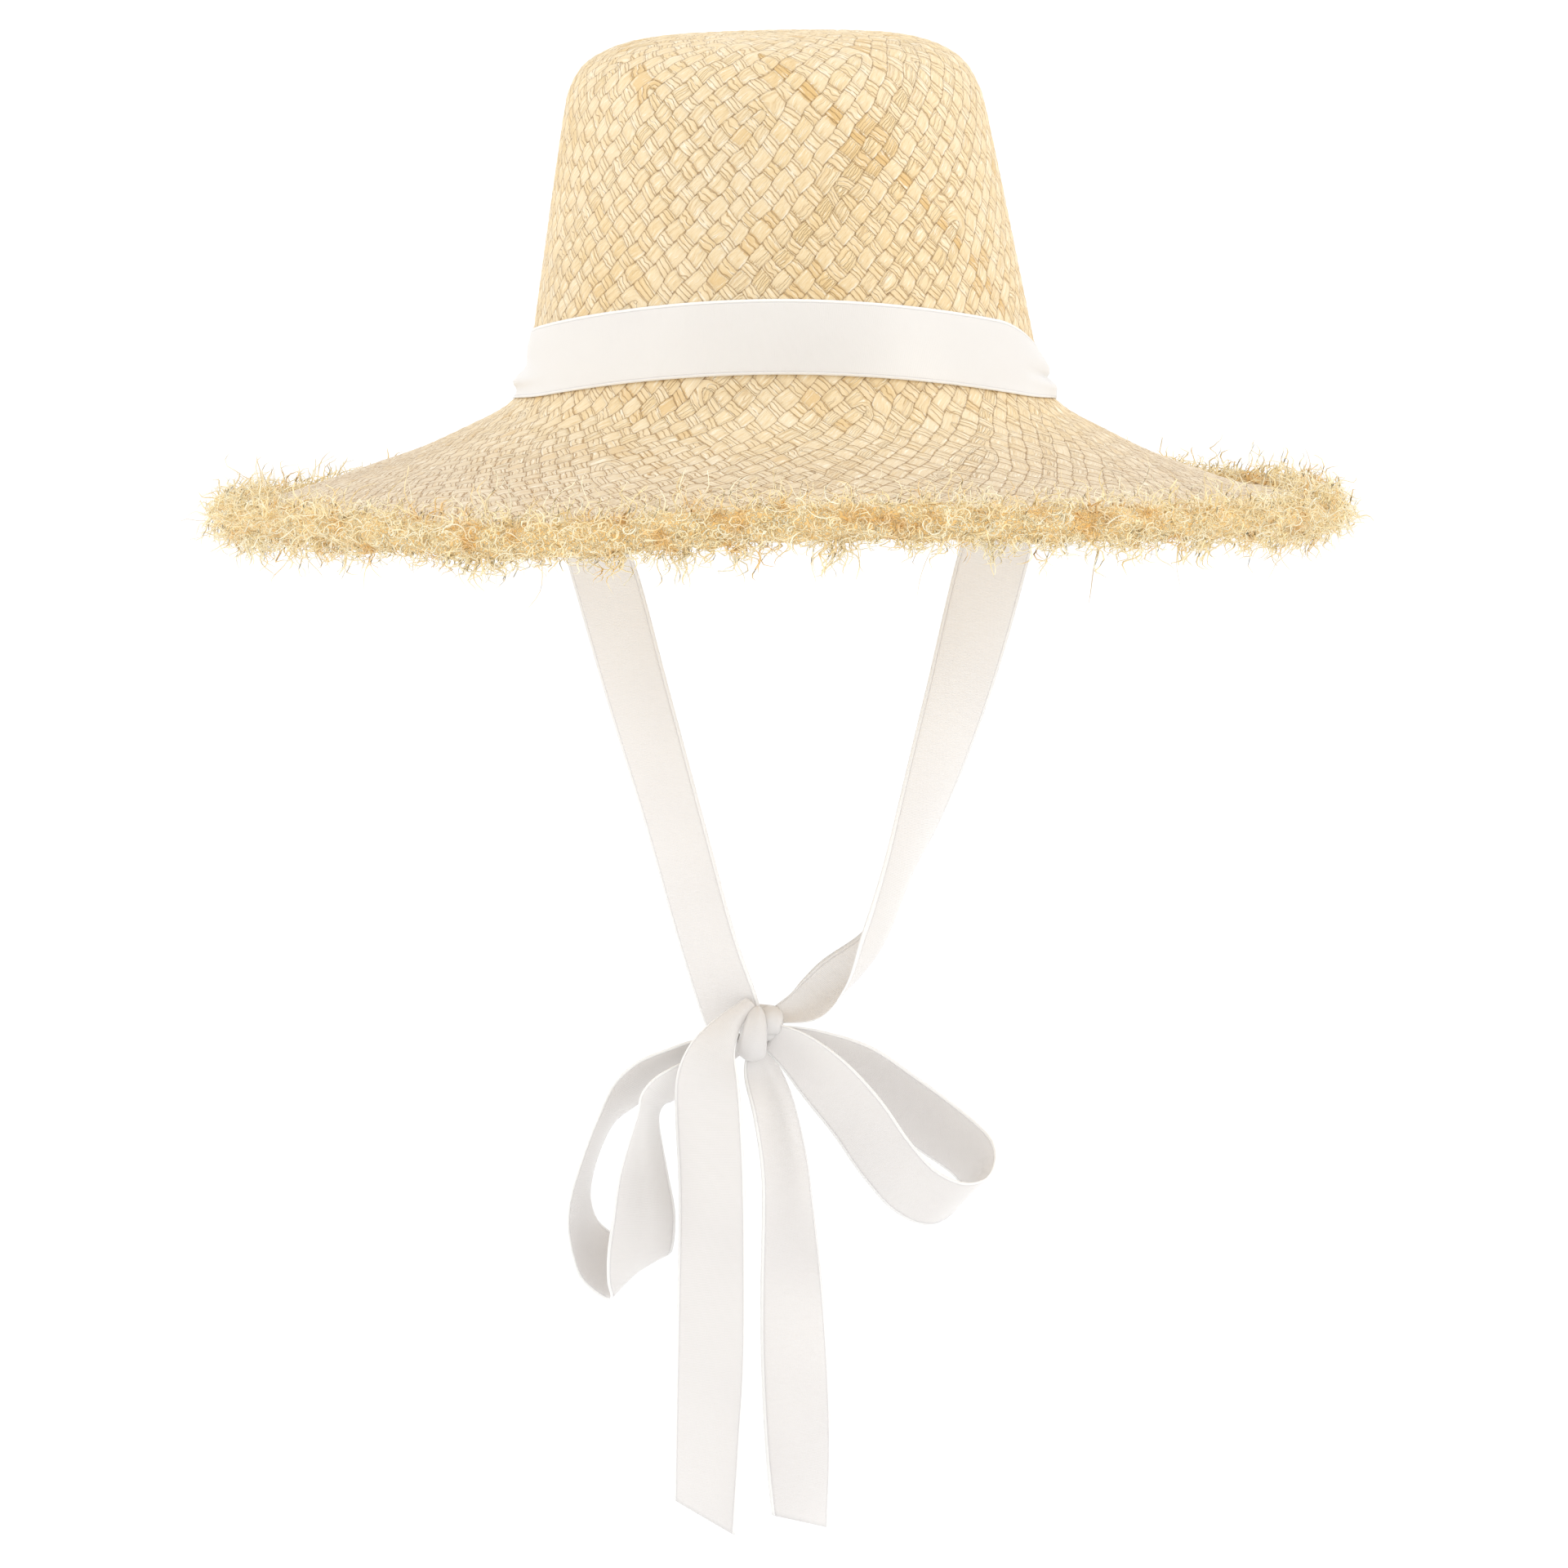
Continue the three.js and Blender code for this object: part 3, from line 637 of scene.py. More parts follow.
def straw_piece(name, start, end, rows, columns, middle):
    """A stretch of the shell between two lengths along the profile: the outer face with the
    pillows of the weave, the inner face the wall's thickness below, with the pillows
    standing the other way. A piece that reaches the middle of the top is closed there."""
    alongs = np.linspace(start, end, rows)
    along, azimuth = np.meshgrid(alongs, np.arange(columns) * 2 * np.pi / columns, indexing="ij")
    wide = strand_phase(azimuth, along, 1, WIDE_STARTS)
    narrow = strand_phase(azimuth, along, -1, NARROW_STARTS)
    here = None
    if start < DARK_ALONG < end:
        here = int(np.argmin(abs(alongs - DARK_ALONG))), int(DARK_TURN * columns)
    wide_even, wide_odd = strand_numbers_of(wide, None)
    narrow_even, narrow_odd = strand_numbers_of(narrow, here)
    relief = pillows(wide, narrow) * smoothstep(2, 9, along)
    outer = straw_surface(azimuth, along, relief)
    inner = straw_surface(azimuth, along, -WALL - relief)

    def strand(phase, number):
        angle = 2 * np.pi * phase
        return listed(np.cos(angle), np.sin(angle), number)

    attributes = {
        "wide_strand": strand(wide, wide_even),
        "narrow_strand": strand(narrow, narrow_even),
        "odd_strands": listed(wide_odd, narrow_odd, wide_odd * 0),
    }
    points = np.concatenate([outer.reshape(-1, 3), inner.reshape(-1, 3)])
    faces = shell_faces(rows, columns, closed=True)
    attributes = {key: np.concatenate([value, value]) for key, value in attributes.items()}
    if middle:
        cells = rows * columns
        strip = 2 * len(grid_faces(rows, columns, True))
        faces = np.concatenate([faces[:strip], faces[strip + columns :]]).tolist()
        points = np.concatenate([points, [outer[0].mean(axis=0), inner[0].mean(axis=0)]])
        attributes = {key: np.concatenate([v, v[:2]]) for key, v in attributes.items()}
        j = np.arange(columns)
        k = (j + 1) % columns
        fan = listed(np.full(columns, 2 * cells), j, k)
        under = listed(np.full(columns, 2 * cells + 1), k + cells, j + cells)
        faces += fan.tolist() + under.tolist()
    piece = make_piece(name, points, faces, **attributes)
    dress(piece, straw_finish, "crown_and_brim")


straw_piece("crown", CROWN_START, JOIN_ALONG, rows=104, columns=340, middle=True)
straw_piece("brim", JOIN_ALONG, STRAW_LENGTH, rows=62, columns=680, middle=False)

# %% [markdown]
# ## The frayed edge
#
# The strands are left long at the brim's edge and combed out, so they split into thin curly
# fibres that stand up, out and down. A soft roll of tangled fibre is the backing, and
# thousands of single fibres grow out of it.

# %% Frame of the edge
edge_face = np.array(profile_at(STRAW_LENGTH))
PAST_EDGE = unit(edge_face - profile_at(STRAW_LENGTH - 1))
EDGE = edge_face + np.array([PAST_EDGE[1], -PAST_EDGE[0]]) * WALL / 2


def fringe_point(azimuth, out, up):
    """A point beside the brim's edge: out runs along the brim past its edge, up square to it."""
    reach = EDGE[0] + PAST_EDGE[0] * out - PAST_EDGE[1] * up
    height = EDGE[1] + PAST_EDGE[1] * out + PAST_EDGE[0] * up
    return straw_point(azimuth, reach, height)


FRINGE_SECTION = np.array(
    [(-7, 1), (-6, 4), (0, 6.5), (6, 3.5), (7, -2.5), (2, -8.5), (-4, -6), (-6.5, -2.5)], float
)
ROLL_REACH = 0.85  # shares of the section's size
ROLL_HEIGHT = 0.5
FRONT_HEIGHT = 0.22  # added at the front
ROLL_OUT = 1.5
ROLL_WAVES = [(31, 0.08), (53, 0.08), (97, 0.07), (151, 0.05)]  # number round, size


def amber_and_shade(place):
    """Where the tangle is darker: soft clumps a few millimetres wide, partly a deeper straw colour
    and partly painted shade of the dense tangle.
    """
    return place.noise(95, 2).smooth(0.54, 0.7)


def tangle_finish():
    """Finish of the backing: two crossing sets of curly lines, the contour lines of a smooth
    noise, which close into loops as curly fibres do."""
    material, shader, place = new_finish("straw tangle", Roughness=0.75)
    first = (place.noise(230, 2) * 52).math("SINE")
    second = (place.noise(310, 2) * 44).math("SINE")
    curl = first.smooth(0.2, 1.0).math("MAXIMUM", second.smooth(0.2, 1.0))
    colour = curl.mixed((245, 206, 138), (255, 238, 196))
    # Partly painted shade: the tangle is deeper gold in the clumps.
    colour = (amber_and_shade(place) * 0.55).mixed(colour, (232, 180, 94))
    plug(shader, "Base Color", colour)
    emboss(shader, curl, 0.5)
    return material


def fringe_backing():
    """The roll: a rounded section carried round the edge, made uneven by slow random waves."""
    around, sides = 440, 30
    azimuth, turn = np.meshgrid(
        np.arange(around) * 2 * np.pi / around, np.arange(sides) / sides, indexing="ij"
    )
    section = column(FRINGE_SECTION, turn * len(FRINGE_SECTION), closed=True)
    swell = np.ones_like(turn)
    for waves, size in ROLL_WAVES:
        swell += size * np.sin(waves * azimuth + 6 * np.sin(2 * np.pi * turn + waves))
    front = np.maximum(0, -np.sin(azimuth))
    out = section[..., 0] * swell * ROLL_REACH + ROLL_OUT
    up = section[..., 1] * swell * (ROLL_HEIGHT + FRONT_HEIGHT * front)
    points = fringe_point(azimuth, out, up)
    faces = grid_faces(around + 1, sides, closed=True) % (around * sides)
    faces = faces[:, [0, 3, 2, 1]]  # turned to face outwards
    piece = make_piece("fringe_backing", points, faces)
    dress(piece, tangle_finish(), "brim_fringe")


fringe_backing()

# %% [markdown]
# Each fibre is a thin three-sided tube with a pointed tip. All the fibres of one kind are
# worked out at once and make one piece: those combed back over the brim, those that stand
# above it, out from it and below it, those of the tufts, and a few stray thin ones.

# %% Frayed fibres
THIN_GLOW = 0.04  # stands for light through thin fibres


def fibre_finish():
    """Finish of the loose fibres: pale at the tip, each its own tone. Gold at the root is painted
    shade deep in the tangle, and the darker clumps are partly painted shade. Tones over 1 are the
    grey brown of stray ends."""
    material, shader, place = new_finish("frayed straw", Roughness=0.5, Emission_Strength=THIN_GLOW)
    tone, tip, _ = place.attribute("fibre")
    colour = tone.smooth(0, 1).mixed((255, 247, 220), (255, 235, 184))
    # Painted shade: gold at the root, deep in the tangle.
    colour = (tip.smooth(0.6, 0.0) * 0.3).mixed(colour, (251, 216, 150))
    # Partly painted shade: the fibres are darker in the clumps.
    colour = (amber_and_shade(place) * 0.65).mixed(colour, (236, 184, 96))
    colour = (tone.smooth(1.2, 1.8) * 0.8).mixed(colour, (196, 168, 128))
    plug(shader, "Base Color", colour)
    plug(shader, "Emission Color", colour)
    return material


FIBRE_STEPS = 9
FIBRE_SIDES = 3
EDGE_RADIUS = 190.0  # of the brim's edge, about
FRONT_TUFTS = [-93.3, -84.0, -75.6]  # degrees round of those that the front shows
MORE_TUFTS = 42  # spread unevenly over the rest of the edge
TUFT_SPREAD = 0.022  # of the fibres round a tuft's middle, in radians
STRAY_THICKNESS = 0.3  # fibres no thicker than this are stray ends


def fibres(rng, tufts, name, count, rise, spread, start, long, curl, turns, thick):
    """Curly fibres round the edge. Each starts near the roll's middle and heads out at its own
    angle above or below the brim and to its own side. Its path is a straight line, plus a
    coil round that line which widens towards the tip, plus a droop."""
    azimuth = (np.arange(count) + rng.random(count)) * 2 * np.pi / count
    if tufts is not None:
        middle = tufts[rng.integers(0, len(tufts), count)]
        azimuth = middle + TUFT_SPREAD * rng.standard_normal(count)
    azimuth = azimuth[:, None]
    clump = np.sin(61 * azimuth + 2.3 * np.sin(7 * azimuth) + 1.7 * np.sin(17 * azimuth + 1))
    angle = np.radians(rise + spread * rng.standard_normal((count, 1)))
    yaw = 0.55 * rng.standard_normal((count, 1))
    front = np.maximum(0, -np.sin(azimuth)) * (rise > 0)
    length = long * (0.4 + 0.9 * rng.random((count, 1))) * (1 + 0.38 * clump + 0.35 * front)
    t = np.linspace(0, 1, FIBRE_STEPS + 1)[None, :]
    radius = curl * (0.5 + rng.random((count, 1))) * (0.45 + 0.55 * t)
    turned = turns * (0.6 + 0.8 * rng.random((count, 1))) * np.sign(rng.random((count, 1)) - 0.5)
    phase = turned * 2 * np.pi * t + 2 * np.pi * rng.random((count, 1))
    zero = np.zeros((count, 1))
    ahead = np.stack([np.sin(yaw), np.cos(yaw) * np.cos(angle), np.cos(yaw) * np.sin(angle)], -1)
    up_from_it = np.stack([zero, -np.sin(angle), np.cos(angle)], -1)
    sideways = np.cross(ahead, up_from_it)
    coil = up_from_it * (radius * np.cos(phase))[..., None]
    coil = coil + sideways * (radius * np.sin(phase))[..., None]
    line = ahead * (length * t)[..., None]
    path = line + coil - 0.7 * coil[:, :1]
    side, out, up = path[..., 0], path[..., 1], path[..., 2]
    out = out + start * np.cos(angle)
    up = up + start * np.sin(angle) - 0.12 * length * t**2 * rng.random((count, 1)) - 0.6
    points = fringe_point(azimuth + side / EDGE_RADIUS, out, up)
    tone = rng.random(count) if thick > STRAY_THICKNESS else 1 + rng.random(count)
    tone = tone * (1 if tufts is None else 1.3)
    return fibre_piece(name, points, thick * (0.6 + 0.7 * rng.random((count, 1))), tone)


def fibre_piece(name, path, width, tone):
    """Three-sided tubes along many paths at once, pointed at the tip, as one piece."""
    count = len(path)
    t = np.linspace(0, 1, FIBRE_STEPS + 1)
    along = unit(np.gradient(path, axis=1))
    one = unit(np.cross(along, np.array([0.3, 0.2, 1.0])))
    two = np.cross(along, one)
    turn = np.arange(FIBRE_SIDES) * 2 * np.pi / FIBRE_SIDES
    ring = (
        one[:, :, None, :] * np.cos(turn)[:, None]
        + two[:, :, None, :] * np.sin(turn)[:, None] * 0.6
    )
    thickness = width * (1 - 0.8 * t**4)
    tube = path[:, :, None, :] + ring * (thickness[:, :, None, None] / 2)
    body = tube[:, :-1].reshape(count, -1, 3)
    points = np.concatenate([body, path[:, -1:, :]], axis=1)
    each = FIBRE_STEPS * FIBRE_SIDES + 1
    s = np.arange(FIBRE_SIDES)
    n = (s + 1) % FIBRE_SIDES
    k = np.arange(FIBRE_STEPS - 1)[:, None] * FIBRE_SIDES
    quads = np.stack([k + s, k + n, k + n + FIBRE_SIDES, k + s + FIBRE_SIDES], -1)
    last = (FIBRE_STEPS - 1) * FIBRE_SIDES
    tips = np.stack([last + s, last + n, np.full(FIBRE_SIDES, each - 1)], -1)
    base = (np.arange(count) * each)[:, None, None]
    faces = (quads.reshape(1, -1, 4) + base).reshape(-1, 4).tolist()
    faces += (tips[None] + base).reshape(-1, 3).tolist()
    faces += (np.array([[[2, 1, 0]]]) + base).reshape(-1, 3).tolist()
    tone = np.repeat(tone, each)
    along_fibre = np.tile(np.append(np.repeat(t[:-1], FIBRE_SIDES), 1.0), count)
    return make_piece(name, points, faces, fibre=listed(tone, along_fibre, tone * 0))


fringe_finish = fibre_finish()
fringe_rng = np.random.default_rng(5)
more_tufts = np.linspace(-66, 258, MORE_TUFTS) + 2.6 * fringe_rng.standard_normal(MORE_TUFTS)
TUFTS = np.radians([*FRONT_TUFTS, *more_tufts])
FRINGE_ROWS = [
    ("fibres_on_brim", 1500, 138, 16, 2.0, 12, 1.9, 1.3, 0.62),
    ("fibres_above", 2100, 66, 28, 3.0, 7, 1.9, 1.3, 0.68),
    ("fibres_out", 2300, 6, 24, 5.0, 8, 1.9, 1.3, 0.68),
    ("fibres_below", 1700, -62, 26, 4.4, 6, 2.2, 1.4, 0.68),
    ("fibres_in_tufts", 1100, -84, 24, 5.5, 8, 2.0, 1.3, 0.7),
    ("stray_fibres", 200, -30, 60, 3.5, 15, 1.3, 0.8, STRAY_THICKNESS),
]  # name, count, rise and its spread in degrees, start, length, curl, turns, thickness
for row in FRINGE_ROWS:
    piece = fibres(fringe_rng, TUFTS if row[0] == "fibres_in_tufts" else None, *row)
    dress(piece, fringe_finish, "brim_fringe")

# %% [markdown]
# ## Satin ribbon
#
# The ribbon is 25 mm wide, ivory white, with very fine ribs across it and a firm woven edge along
# each side, raised, with a painted highlight that makes it paler.


# %% Ribbon finish
RIBBON_WIDTH = 25.0
RIBBON_THICK = 0.6
RIB_PITCH = 0.55
CLOTH_GLOW = 0.07  # stands for light through thin cloth


def satin_finish():
    """Satin: ribs across the ribbon as a fine wave along it, a raised line beside each edge, a
    raised border painted paler as a highlight, slow soft bumps, and painted shade: greyer towards
    the bottom and in slow soft patches. The UV map is in millimetres: across first, then along."""
    material, shader, place = new_finish(
        "satin ribbon", Roughness=0.42, Sheen_Weight=0.25, Sheen_Roughness=0.4,
        Subsurface_Weight=0.5, Subsurface_Radius=(1, 1, 1), Subsurface_Scale=1.5 * MM,
        Emission_Strength=CLOTH_GLOW,
    )
    u, v, _ = place.node("ShaderNodeUVMap", {"uv_map": "cloth"}).parts()
    edge = abs(u) * 2
    line = edge.smooth(0.895, 0.915) - edge.smooth(0.915, 0.935)
    border = edge.smooth(0.92, 0.95)
    ribs = (v * (2 * np.pi / RIB_PITCH)).math("SINE")
    slow = place.noise(19, 1)
    weave = place.noise(1600, 1)
    # Painted shade: greyer towards the bottom, most of it, and in slow soft patches.
    shade = slow.smooth(0.35, 0.7) * 0.25 + place.parts()[2].smooth(0.0, -0.3) * 0.75
    colour = shade.mixed((228, 225, 221), (211, 208, 206))
    colour = (line * 0.6).mixed(colour, (206, 203, 204))
    # Painted highlight: the border near each edge is mixed paler.
    colour = (border * 0.8).mixed(colour, (242, 241, 238))
    plug(shader, "Base Color", colour)
    plug(shader, "Emission Color", colour)
    relief = ribs * 0.02 * (1 - border) + weave * 0.03 + border * 0.12 - line * 0.12 + slow * 0.5
    emboss(shader, relief, 1, 0.7)
    return material


satin = satin_finish()

# %% [markdown]
# ## Band round the crown
#
# The band lies flat on the straw at the front and the back and dips at the sides. There the
# ties pull at it from behind, so it puckers into soft folds, its lower edge is drawn up, and
# on the right its upper edge is gathered down.

# %% Hat band
BAND_TOP_FRONT = 40.0
BAND_TOP_SIDE = 23.6
BAND_STAND_OFF = 0.5
BAND_FOLD_LEFT = [-0.3, 0, 0.3, 0, -0.3, 0.8, 3.1, 0.6, -0.3]
BAND_FOLD_RIGHT = [-0.3, 0.4, 1.5, 2.3, 1.9, 0.3, 2.8, 1.5, -0.3]
BAND_FOLD_REACH = 0.3
BAND_GATHER_RIGHT = 6.0  # how far its upper edge is drawn down there
BAND_LIFT = 1.4  # how far its lower edge is drawn up at both sides
CONE_COSINE = 0.985
BAND_RADIUS = 94.0  # mean reach of the crown under it


def crown_reach(height):
    """Reach of the crown's outer surface at a height."""
    return np.interp(-height, -profile_fine[:, 1], profile_fine[:, 0])


def band_point(azimuth, down, out):
    """A point of the band: down runs from its upper edge, 0, to its lower edge, 1. The upper
    edge sinks from the front's height to the sides', and the folds stand out there."""
    quarter = np.arccos(np.abs(np.sin(azimuth))) / (np.pi / 2)
    dip = 0.5 * np.cos(azimuth) ** 2 + 0.5 * quarter**2
    top = BAND_TOP_FRONT + (BAND_TOP_SIDE - BAND_TOP_FRONT) * dip
    bottom = top - RIBBON_WIDTH * CONE_COSINE
    folded = smoothstep(1 - BAND_FOLD_REACH, 1, quarter)
    right = np.cos(azimuth) > 0
    top = top - BAND_GATHER_RIGHT * smoothstep(0.65, 1, quarter) * right
    height = top + down * (bottom + BAND_LIFT * folded - top)
    place = down * (len(BAND_FOLD_LEFT) - 1)
    fold = np.where(right, column(BAND_FOLD_RIGHT, place), column(BAND_FOLD_LEFT, place))
    stand = BAND_STAND_OFF + folded * fold + out
    return straw_point(azimuth, crown_reach(height) + stand, height)


def hat_band():
    """The band as a closed strip: its face, its back a ribbon's thickness below, joined edges."""
    rows, columns = 25, 280
    down, azimuth = np.meshgrid(
        np.linspace(0, 1, rows), np.arange(columns) * 2 * np.pi / columns, indexing="ij"
    )
    face = band_point(azimuth, down, np.full_like(down, RIBBON_THICK))
    back = band_point(azimuth, down, np.zeros_like(down))
    length = 2 * np.pi * BAND_RADIUS
    along = azimuth / (2 * np.pi) * length
    uv = np.tile(listed(down - 0.5, along), (2, 1))
    faces = shell_faces(rows, columns, closed=True)
    piece = make_piece("hat_band_ribbon", np.stack([face, back]), faces, uv)
    dress(piece, satin, "hat_band")
    print("band length:", round(length), "mm")
    return piece, length


band, band_length = hat_band()

# %% [markdown]
# ## Ties, bow and tails
#
# One ribbon comes out at each side under the band, and the two meet in a bow below the
# chin. Each stretch is a strip carried along a table of its middle line, the way that its
# width lies, the width itself, which narrows where the knot gathers it, and a curl across.
# The tables are the CAD model's, moved by some millimetres to follow each fold more closely.

# %% Ribbon tables
TIE_LEFT = [
    (-88.8, 0, 6.6, 0, -1, 0, 25, 0), (-87, 0, 3.6, 0, -1, 0, 25, 0),
    (-82, 0, 0.5, 0, -1, 0, 25, 0), (-79, 0, -10, 0.15, -1, 0, 25, 0.4),
    (-71, -1, -32, 0.62, -0.78, 0, 25, 0.8), (-61, -2, -57, 0.9, -0.44, 0, 25, 1),
    (-49, -3, -100, 0.88, -0.47, 0, 25, 0.6), (-36.5, -3, -144, 0.82, -0.57, 0, 25, 0.6),
    (-25.8, -3, -183, 0.81, -0.59, 0, 25, 1), (-18.4, -2, -206, 0.84, -0.5, 0.1, 24, 1.5),
    (-15.5, -2, -215, 0.86, -0.4, 0.2, 21, 2),
]
TIE_RIGHT = [
    (89.7, 0, 10.5, 0, 1, 0, 25, 0), (89, 0, 6, 0, 1, 0, 25, 0),
    (84.6, 0, 0.5, 0, 1, 0, 25, 0), (82.4, 0, -10, 0.2, 1, 0, 25, 0.4),
    (78.5, -1, -32, 0.75, 0.62, 0, 25, 0.8), (72, -2, -57, 0.97, 0.24, 0, 25, 0.8),
    (60.2, -3, -102, 0.88, 0.47, 0, 25, 0.8), (46.2, -3, -146, 0.63, 0.78, 0, 25, 2.5),
    (35.7, -3, -170, 0.36, 0.93, 0, 22, 6), (27.8, -3, -184, 0.05, 1, 0, 19, 8),
    (17, -4, -198.5, -0.47, 0.74, 0.48, 17, 8), (9.6, -5, -206.8, -0.58, 0.55, 0.6, 15, 4.5),
    (-0.5, -6, -211, -0.1, 0.7, 0.7, 8, 1.5),
]
LOOP_LEFT = [
    (-12.5, -3, -219, 0.1, 0.8, -0.5, 9, 1), (-23, 0, -223.5, 0.12, 0.8, -0.58, 17, 1),
    (-34, 3, -227.5, 0.15, 0.85, -0.48, 23, 0.5), (-44.5, 6, -233, 0.22, 0.84, -0.5, 25, 0.5),
    (-52.8, 8, -240.6, 0.26, 0.85, -0.46, 25, 0.5), (-60.5, 8, -250.5, 0.22, 0.95, -0.16, 25, 0.5),
    (-66.5, 8, -265, 0.23, 0.97, 0, 25, 0.5), (-69.5, 7, -279, 0.29, 0.95, 0.12, 25, 0.5),
    (-68, 9, -290, 0.36, 0.9, 0.22, 25, 0.5),
    (-63, 10.5, -298, 0.5, 0.72, 0.48, 25, 0.3), (-54.5, 8.5, -302.5, 0.66, 0.4, 0.64, 25, 0.3),
    (-49.6, 1, -302.3, 0.78, 0.1, 0.62, 25, 0.3), (-48.6, -5, -295.5, 0.82, 0.3, 0.45, 25, 0.3),
    (-47, -6, -282, 0.85, 0.5, 0.1, 25, 0.5), (-47.2, -5, -268, 0.68, 0.73, 0, 25, 0.5),
    (-46.5, -4, -254, 0.42, 0.9, 0, 25, 0.5),
    (-45, -3, -244.4, 0.2, 0.88, -0.36, 25, 0.5), (-41.8, -3, -239, 0.17, 0.85, -0.48, 24.5, 0.5),
    (-35.5, -3, -234.5, 0.1, 0.8, -0.56, 22, 0.5),
    (-25, -3, -229, 0, 0.75, -0.6, 17, 1), (-13, -3, -222, 0, 0.8, -0.5, 11, 1),
]
LOOP_RIGHT = [
    (-3, -9, -218, -0.4, 0.3, -0.8, 11, 1), (6, -11, -224, -0.5, 0.35, -0.75, 17, 1.5),
    (16, -13, -233.5, -0.58, 0.45, -0.6, 23, 1), (26.5, -15, -245.5, -0.62, 0.5, -0.55, 25, 0.5),
    (36, -17, -259, -0.66, 0.5, -0.5, 25, 0.5), (46, -18, -270, -0.6, 0.5, -0.6, 25, 0.5),
    (56.5, -17, -274.5, -0.5, 0.55, -0.65, 25, 0.3), (65.5, -11, -272.5, -0.42, 0.7, -0.56, 25, 0.3),
    (68.5, -3, -266, -0.42, 0.74, -0.5, 25, 0.3), (64.5, 4, -260, -0.5, 0.62, -0.58, 25, 0.3),
    (53.5, 8, -252, -0.55, 0.5, -0.65, 25, 0.5), (39, 8, -241.5, -0.55, 0.48, -0.68, 25, 0.5),
    (25, 5, -231, -0.5, 0.45, -0.7, 23, 1), (11, 1, -223, -0.4, 0.45, -0.8, 15, 1),
    (0, -2, -218.5, -0.3, 0.4, -0.8, 8, 0.5),
]
TAIL_LEFT = [
    (-10, -9, -206.5, 0.98, 0.1, -0.1, 5, 1), (-16.5, -13, -212, 0.95, 0.1, -0.3, 8, 1.5),
    (-21, -16, -218, 0.93, 0, -0.36, 13, 2), (-23.8, -17, -224.5, 0.94, -0.1, -0.28, 18, 2),
    (-24.9, -17, -233, 0.95, -0.25, -0.15, 22.5, 1.5), (-24.5, -16, -246, 0.93, -0.35, 0, 24.5, 1),
    (-23.4, -15, -274, 0.92, -0.4, 0, 25, 0.8),
    (-23.8, -14, -325, 0.95, -0.3, 0, 25, 0.6), (-25, -13, -358, 0.9, -0.42, 0, 25, 0.6),
    (-26, -12, -385, 0.84, -0.52, 0, 25, 0.6),
]
TAIL_RIGHT = [
    (-7.5, -5, -222, 0.75, 0.6, 0.1, 9, 1.5), (-6.5, -5, -230, 0.72, 0.68, 0.15, 16, 2),
    (-2.4, -7, -243, 0.62, 0.77, 0.1, 22, 1.5), (1.2, -7, -262, 0.62, 0.78, 0, 25, 1),
    (2.6, -7, -280, 0.7, 0.71, 0, 25, 1), (4.6, -6, -325, 0.9, 0.42, 0, 25, 1),
    (6, -5, -358, 0.9, 0.42, 0, 25, 1.2), (7, -5, -388, 0.74, 0.66, 0, 25, 1.5),
]
CUT_SLANT = 6.5  # how much longer one side is at the cut end
TABLE_STEPS = 600
STRIP_STEP = 1.6
STRIP_WIDTHS = 13


# %% Ribbon strips
def ribbon_strip(node, table, slant=0.0):
    """A strip along its table. A point is the middle line, plus the way across times its share
    of the width, plus the curl, which is highest in the middle. The way across is made
    square to the middle line. A slanted end runs longer on one side."""
    table = np.array(table, float)
    fine = column(table, np.linspace(0, len(table) - 1, TABLE_STEPS))
    lengths = np.concatenate([[0], np.cumsum(np.linalg.norm(np.diff(fine[:, :3], axis=0), axis=1))])
    length = lengths[-1]
    steps = int(length / STRIP_STEP)
    shares = np.linspace(-0.5, 0.5, STRIP_WIDTHS)
    t, u = np.meshgrid(np.linspace(0, 1, steps), shares, indexing="ij")
    t = t * (1 + slant * u / length)
    spans = len(table) - 1
    row = column(table, t * spans)
    ahead, behind = column(table, (t + 0.01) * spans), column(table, (t - 0.01) * spans)
    along = unit((ahead - behind)[..., :3])
    across = row[..., 3:6]
    across = unit(across - along * np.sum(across * along, axis=-1, keepdims=True))
    out = np.cross(along, across)
    width, cup = row[..., 6:7], row[..., 7:8]
    middle = row[..., :3] + across * u[..., None] * width
    curl = cup * (1 - 4 * u[..., None] ** 2)
    rounding = RIBBON_THICK / 2
    front = middle + out * (curl + rounding)
    back = middle + out * (curl - rounding)
    distance = np.interp(t, np.linspace(0, 1, TABLE_STEPS), lengths)
    uv = np.tile(listed(u, distance), (2, 1))
    faces = shell_faces(steps, STRIP_WIDTHS, closed=False)
    piece = make_piece(node + "_ribbon", np.stack([front, back]), faces, uv)
    dress(piece, satin, node)
    print(piece.name, "length:", round(length), "mm")
    return piece, length


strips = [
    ribbon_strip("tie_left", TIE_LEFT),
    ribbon_strip("tie_right", TIE_RIGHT),
    ribbon_strip("bow_loop_left", LOOP_LEFT),
    ribbon_strip("bow_loop_right", LOOP_RIGHT),
    ribbon_strip("tail_left", TAIL_LEFT, CUT_SLANT),
    ribbon_strip("tail_right", TAIL_RIGHT, CUT_SLANT),
]

# %% [markdown]
# ## Knot
#
# The knot is the ribbon itself, gathered and wrapped round the crossing, so it is made of
# three bands bent into rings: two in front, one beside the other, and one behind them.

# %% Bow knot
KNOT_WRAPS = [
    (-9, -10, -217, 4.5, 7, 9.6, 8, 0.3),
    (-3.4, -7, -212.8, 4.4, 5.5, 5, 14, 0.15),
    (-6.5, -4.5, -214.5, 7.5, 5.5, 7, 0, 0),
]  # centre, half its width, depth and height, lean in degrees, how much narrower at the top
WRAP_ROUNDING = 0.45  # under 1, the ring is flat in the middle and drops at its edges
WRAP_PLEAT = 0.02


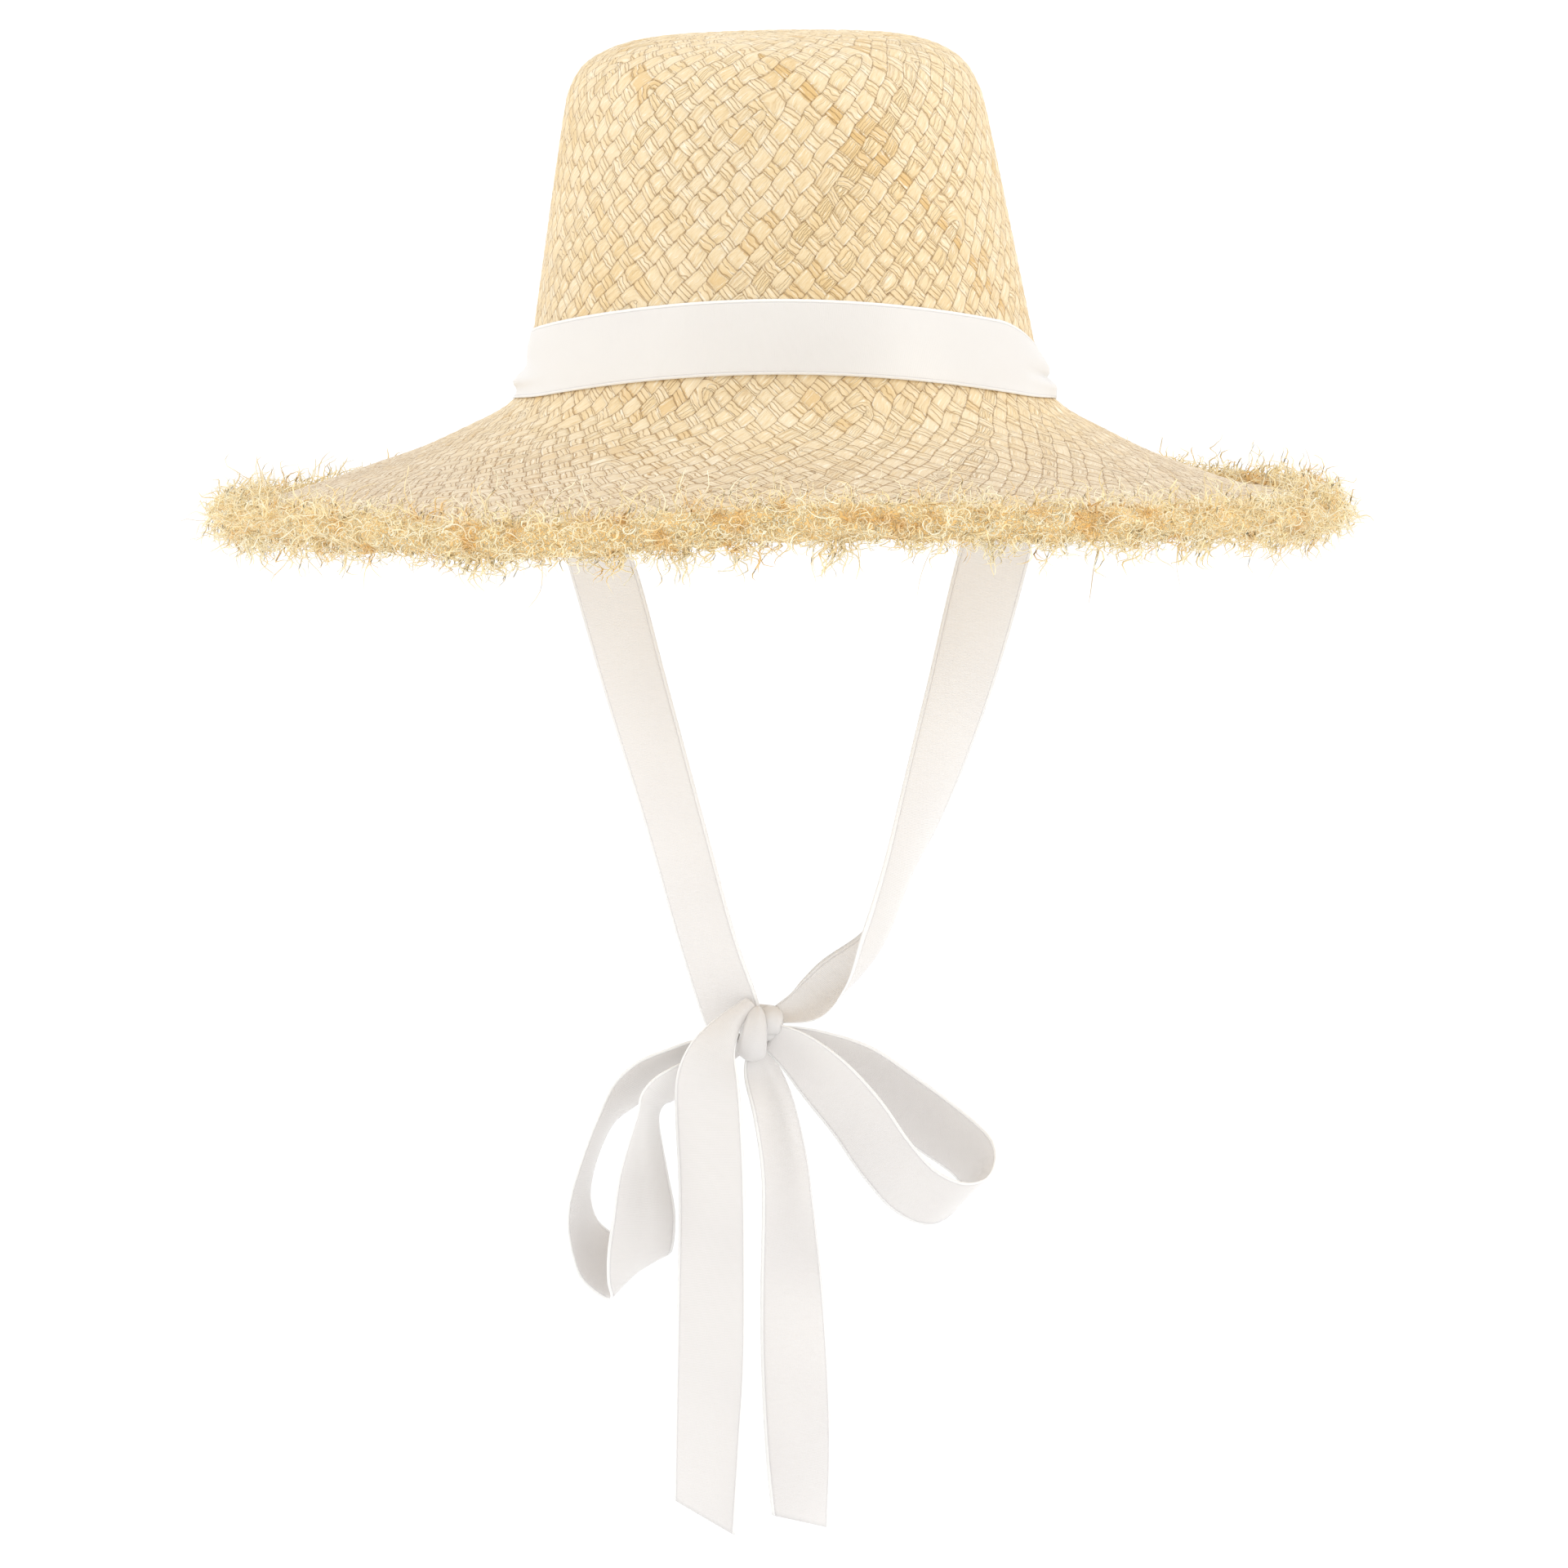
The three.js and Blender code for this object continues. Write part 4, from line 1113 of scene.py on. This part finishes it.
def knot():
    """Each wrap is a barrel: a band whose ring is nearly even across its width and drops at its
    edges, with faint pleats, narrower at the top."""
    rows, columns = 28, 56
    shares, turns = np.linspace(0.02, 0.98, rows), np.arange(columns) / columns
    down, turn = np.meshgrid(shares * np.pi, turns * 2 * np.pi, indexing="ij")
    cell = grid_faces(rows, columns, closed=True)
    parts, faces, uvs = [], [], []
    for number, (x, y, z, wide, deep, tall, lean, narrower) in enumerate(KNOT_WRAPS):
        pleat = 1 + WRAP_PLEAT * np.sin(5 * down + number) * np.sin(down)
        side = -np.cos(down) * wide
        ring = np.sin(down) ** WRAP_ROUNDING * pleat
        local_y, local_z = np.sin(turn) * deep * ring, np.cos(turn) * tall * ring
        angle = np.radians(lean)
        side = side * (1 - narrower * local_z / tall)
        px = x + side * np.cos(angle) + local_z * np.sin(angle)
        pz = z - side * np.sin(angle) + local_z * np.cos(angle)
        base = number * rows * columns
        last = base + (rows - 1) * columns
        faces += (cell + base).tolist()
        faces += [list(range(base, base + columns)), list(range(last, last + columns))[::-1]]
        parts.append(listed(px, y + local_y, pz))
        uvs.append(listed(down / np.pi - 0.5, turn * 8))
    piece = make_piece("bow_knot_ribbon", np.concatenate(parts), faces, np.concatenate(uvs))
    dress(piece, satin, "bow_knot")


knot()

# %% [markdown]
# ## The ribbon stretches
#
# Each stretch of ribbon was cut from the same 25 mm ribbon, so laid flat it is that width times the
# length along its middle line. The band is stretched round the crown, the ties hang from it, and the
# loops and tails hang from the knot. The loops below go over the strips and do nothing with them.

for piece, length in strips[:2]:
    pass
for piece, length in strips[2:]:
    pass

# %% [markdown]
# ## Floor and light
#
# The floor is too far below to take a shadow of the hat. The right lamp is a little stronger.

# %% Stage
FLOOR_HEIGHT = -1.5
FLOOR_HALF = 60.0
SKY_LIGHT = 1.12
corners = np.array([(-1, -1), (1, -1), (1, 1), (-1, 1)]) * FLOOR_HALF
floor_mesh = bpy.data.meshes.new("floor")
floor_mesh.from_pydata([(x, y, FLOOR_HEIGHT) for x, y in corners.tolist()], [], [(0, 1, 2, 3)])
floor_finish, _, _ = new_finish("pale floor", Roughness=0.9, Base_Color=(1, 1, 1, 1))
floor_mesh.materials.append(floor_finish)
new_object("floor", floor_mesh)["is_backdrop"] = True

scene.view_settings.view_transform = "Standard"
world = bpy.data.worlds.new("studio")
world.use_nodes = True
sky = world.node_tree.nodes["Background"]
sky.inputs["Color"].default_value = (1, 1, 1, 1)
sky.inputs["Strength"].default_value = SKY_LIGHT
scene.world = world


def soft_lamp(name, place, target, size, power):
    """A square area lamp that faces the target."""
    data = bpy.data.lights.new(name, "AREA")
    data.size = size
    data.energy = power
    look_at(new_object(name, data), place, target)


soft_lamp("left lamp", place=(-2.3, -0.5, 0.9), target=(0, 0, -0.1), size=1.0, power=9)
soft_lamp("right lamp", place=(2.3, -0.6, 1.0), target=(0, 0, 0), size=1.0, power=12.5)

# %% Sizes and finish
visual_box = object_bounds()
boxes = {"cad": cad_box, "visual": visual_box}
{k: [list(corner) for corner in box] for k, box in boxes.items()}
print("visual box:", [tuple(round(c, 4) for c in corner) for corner in visual_box])
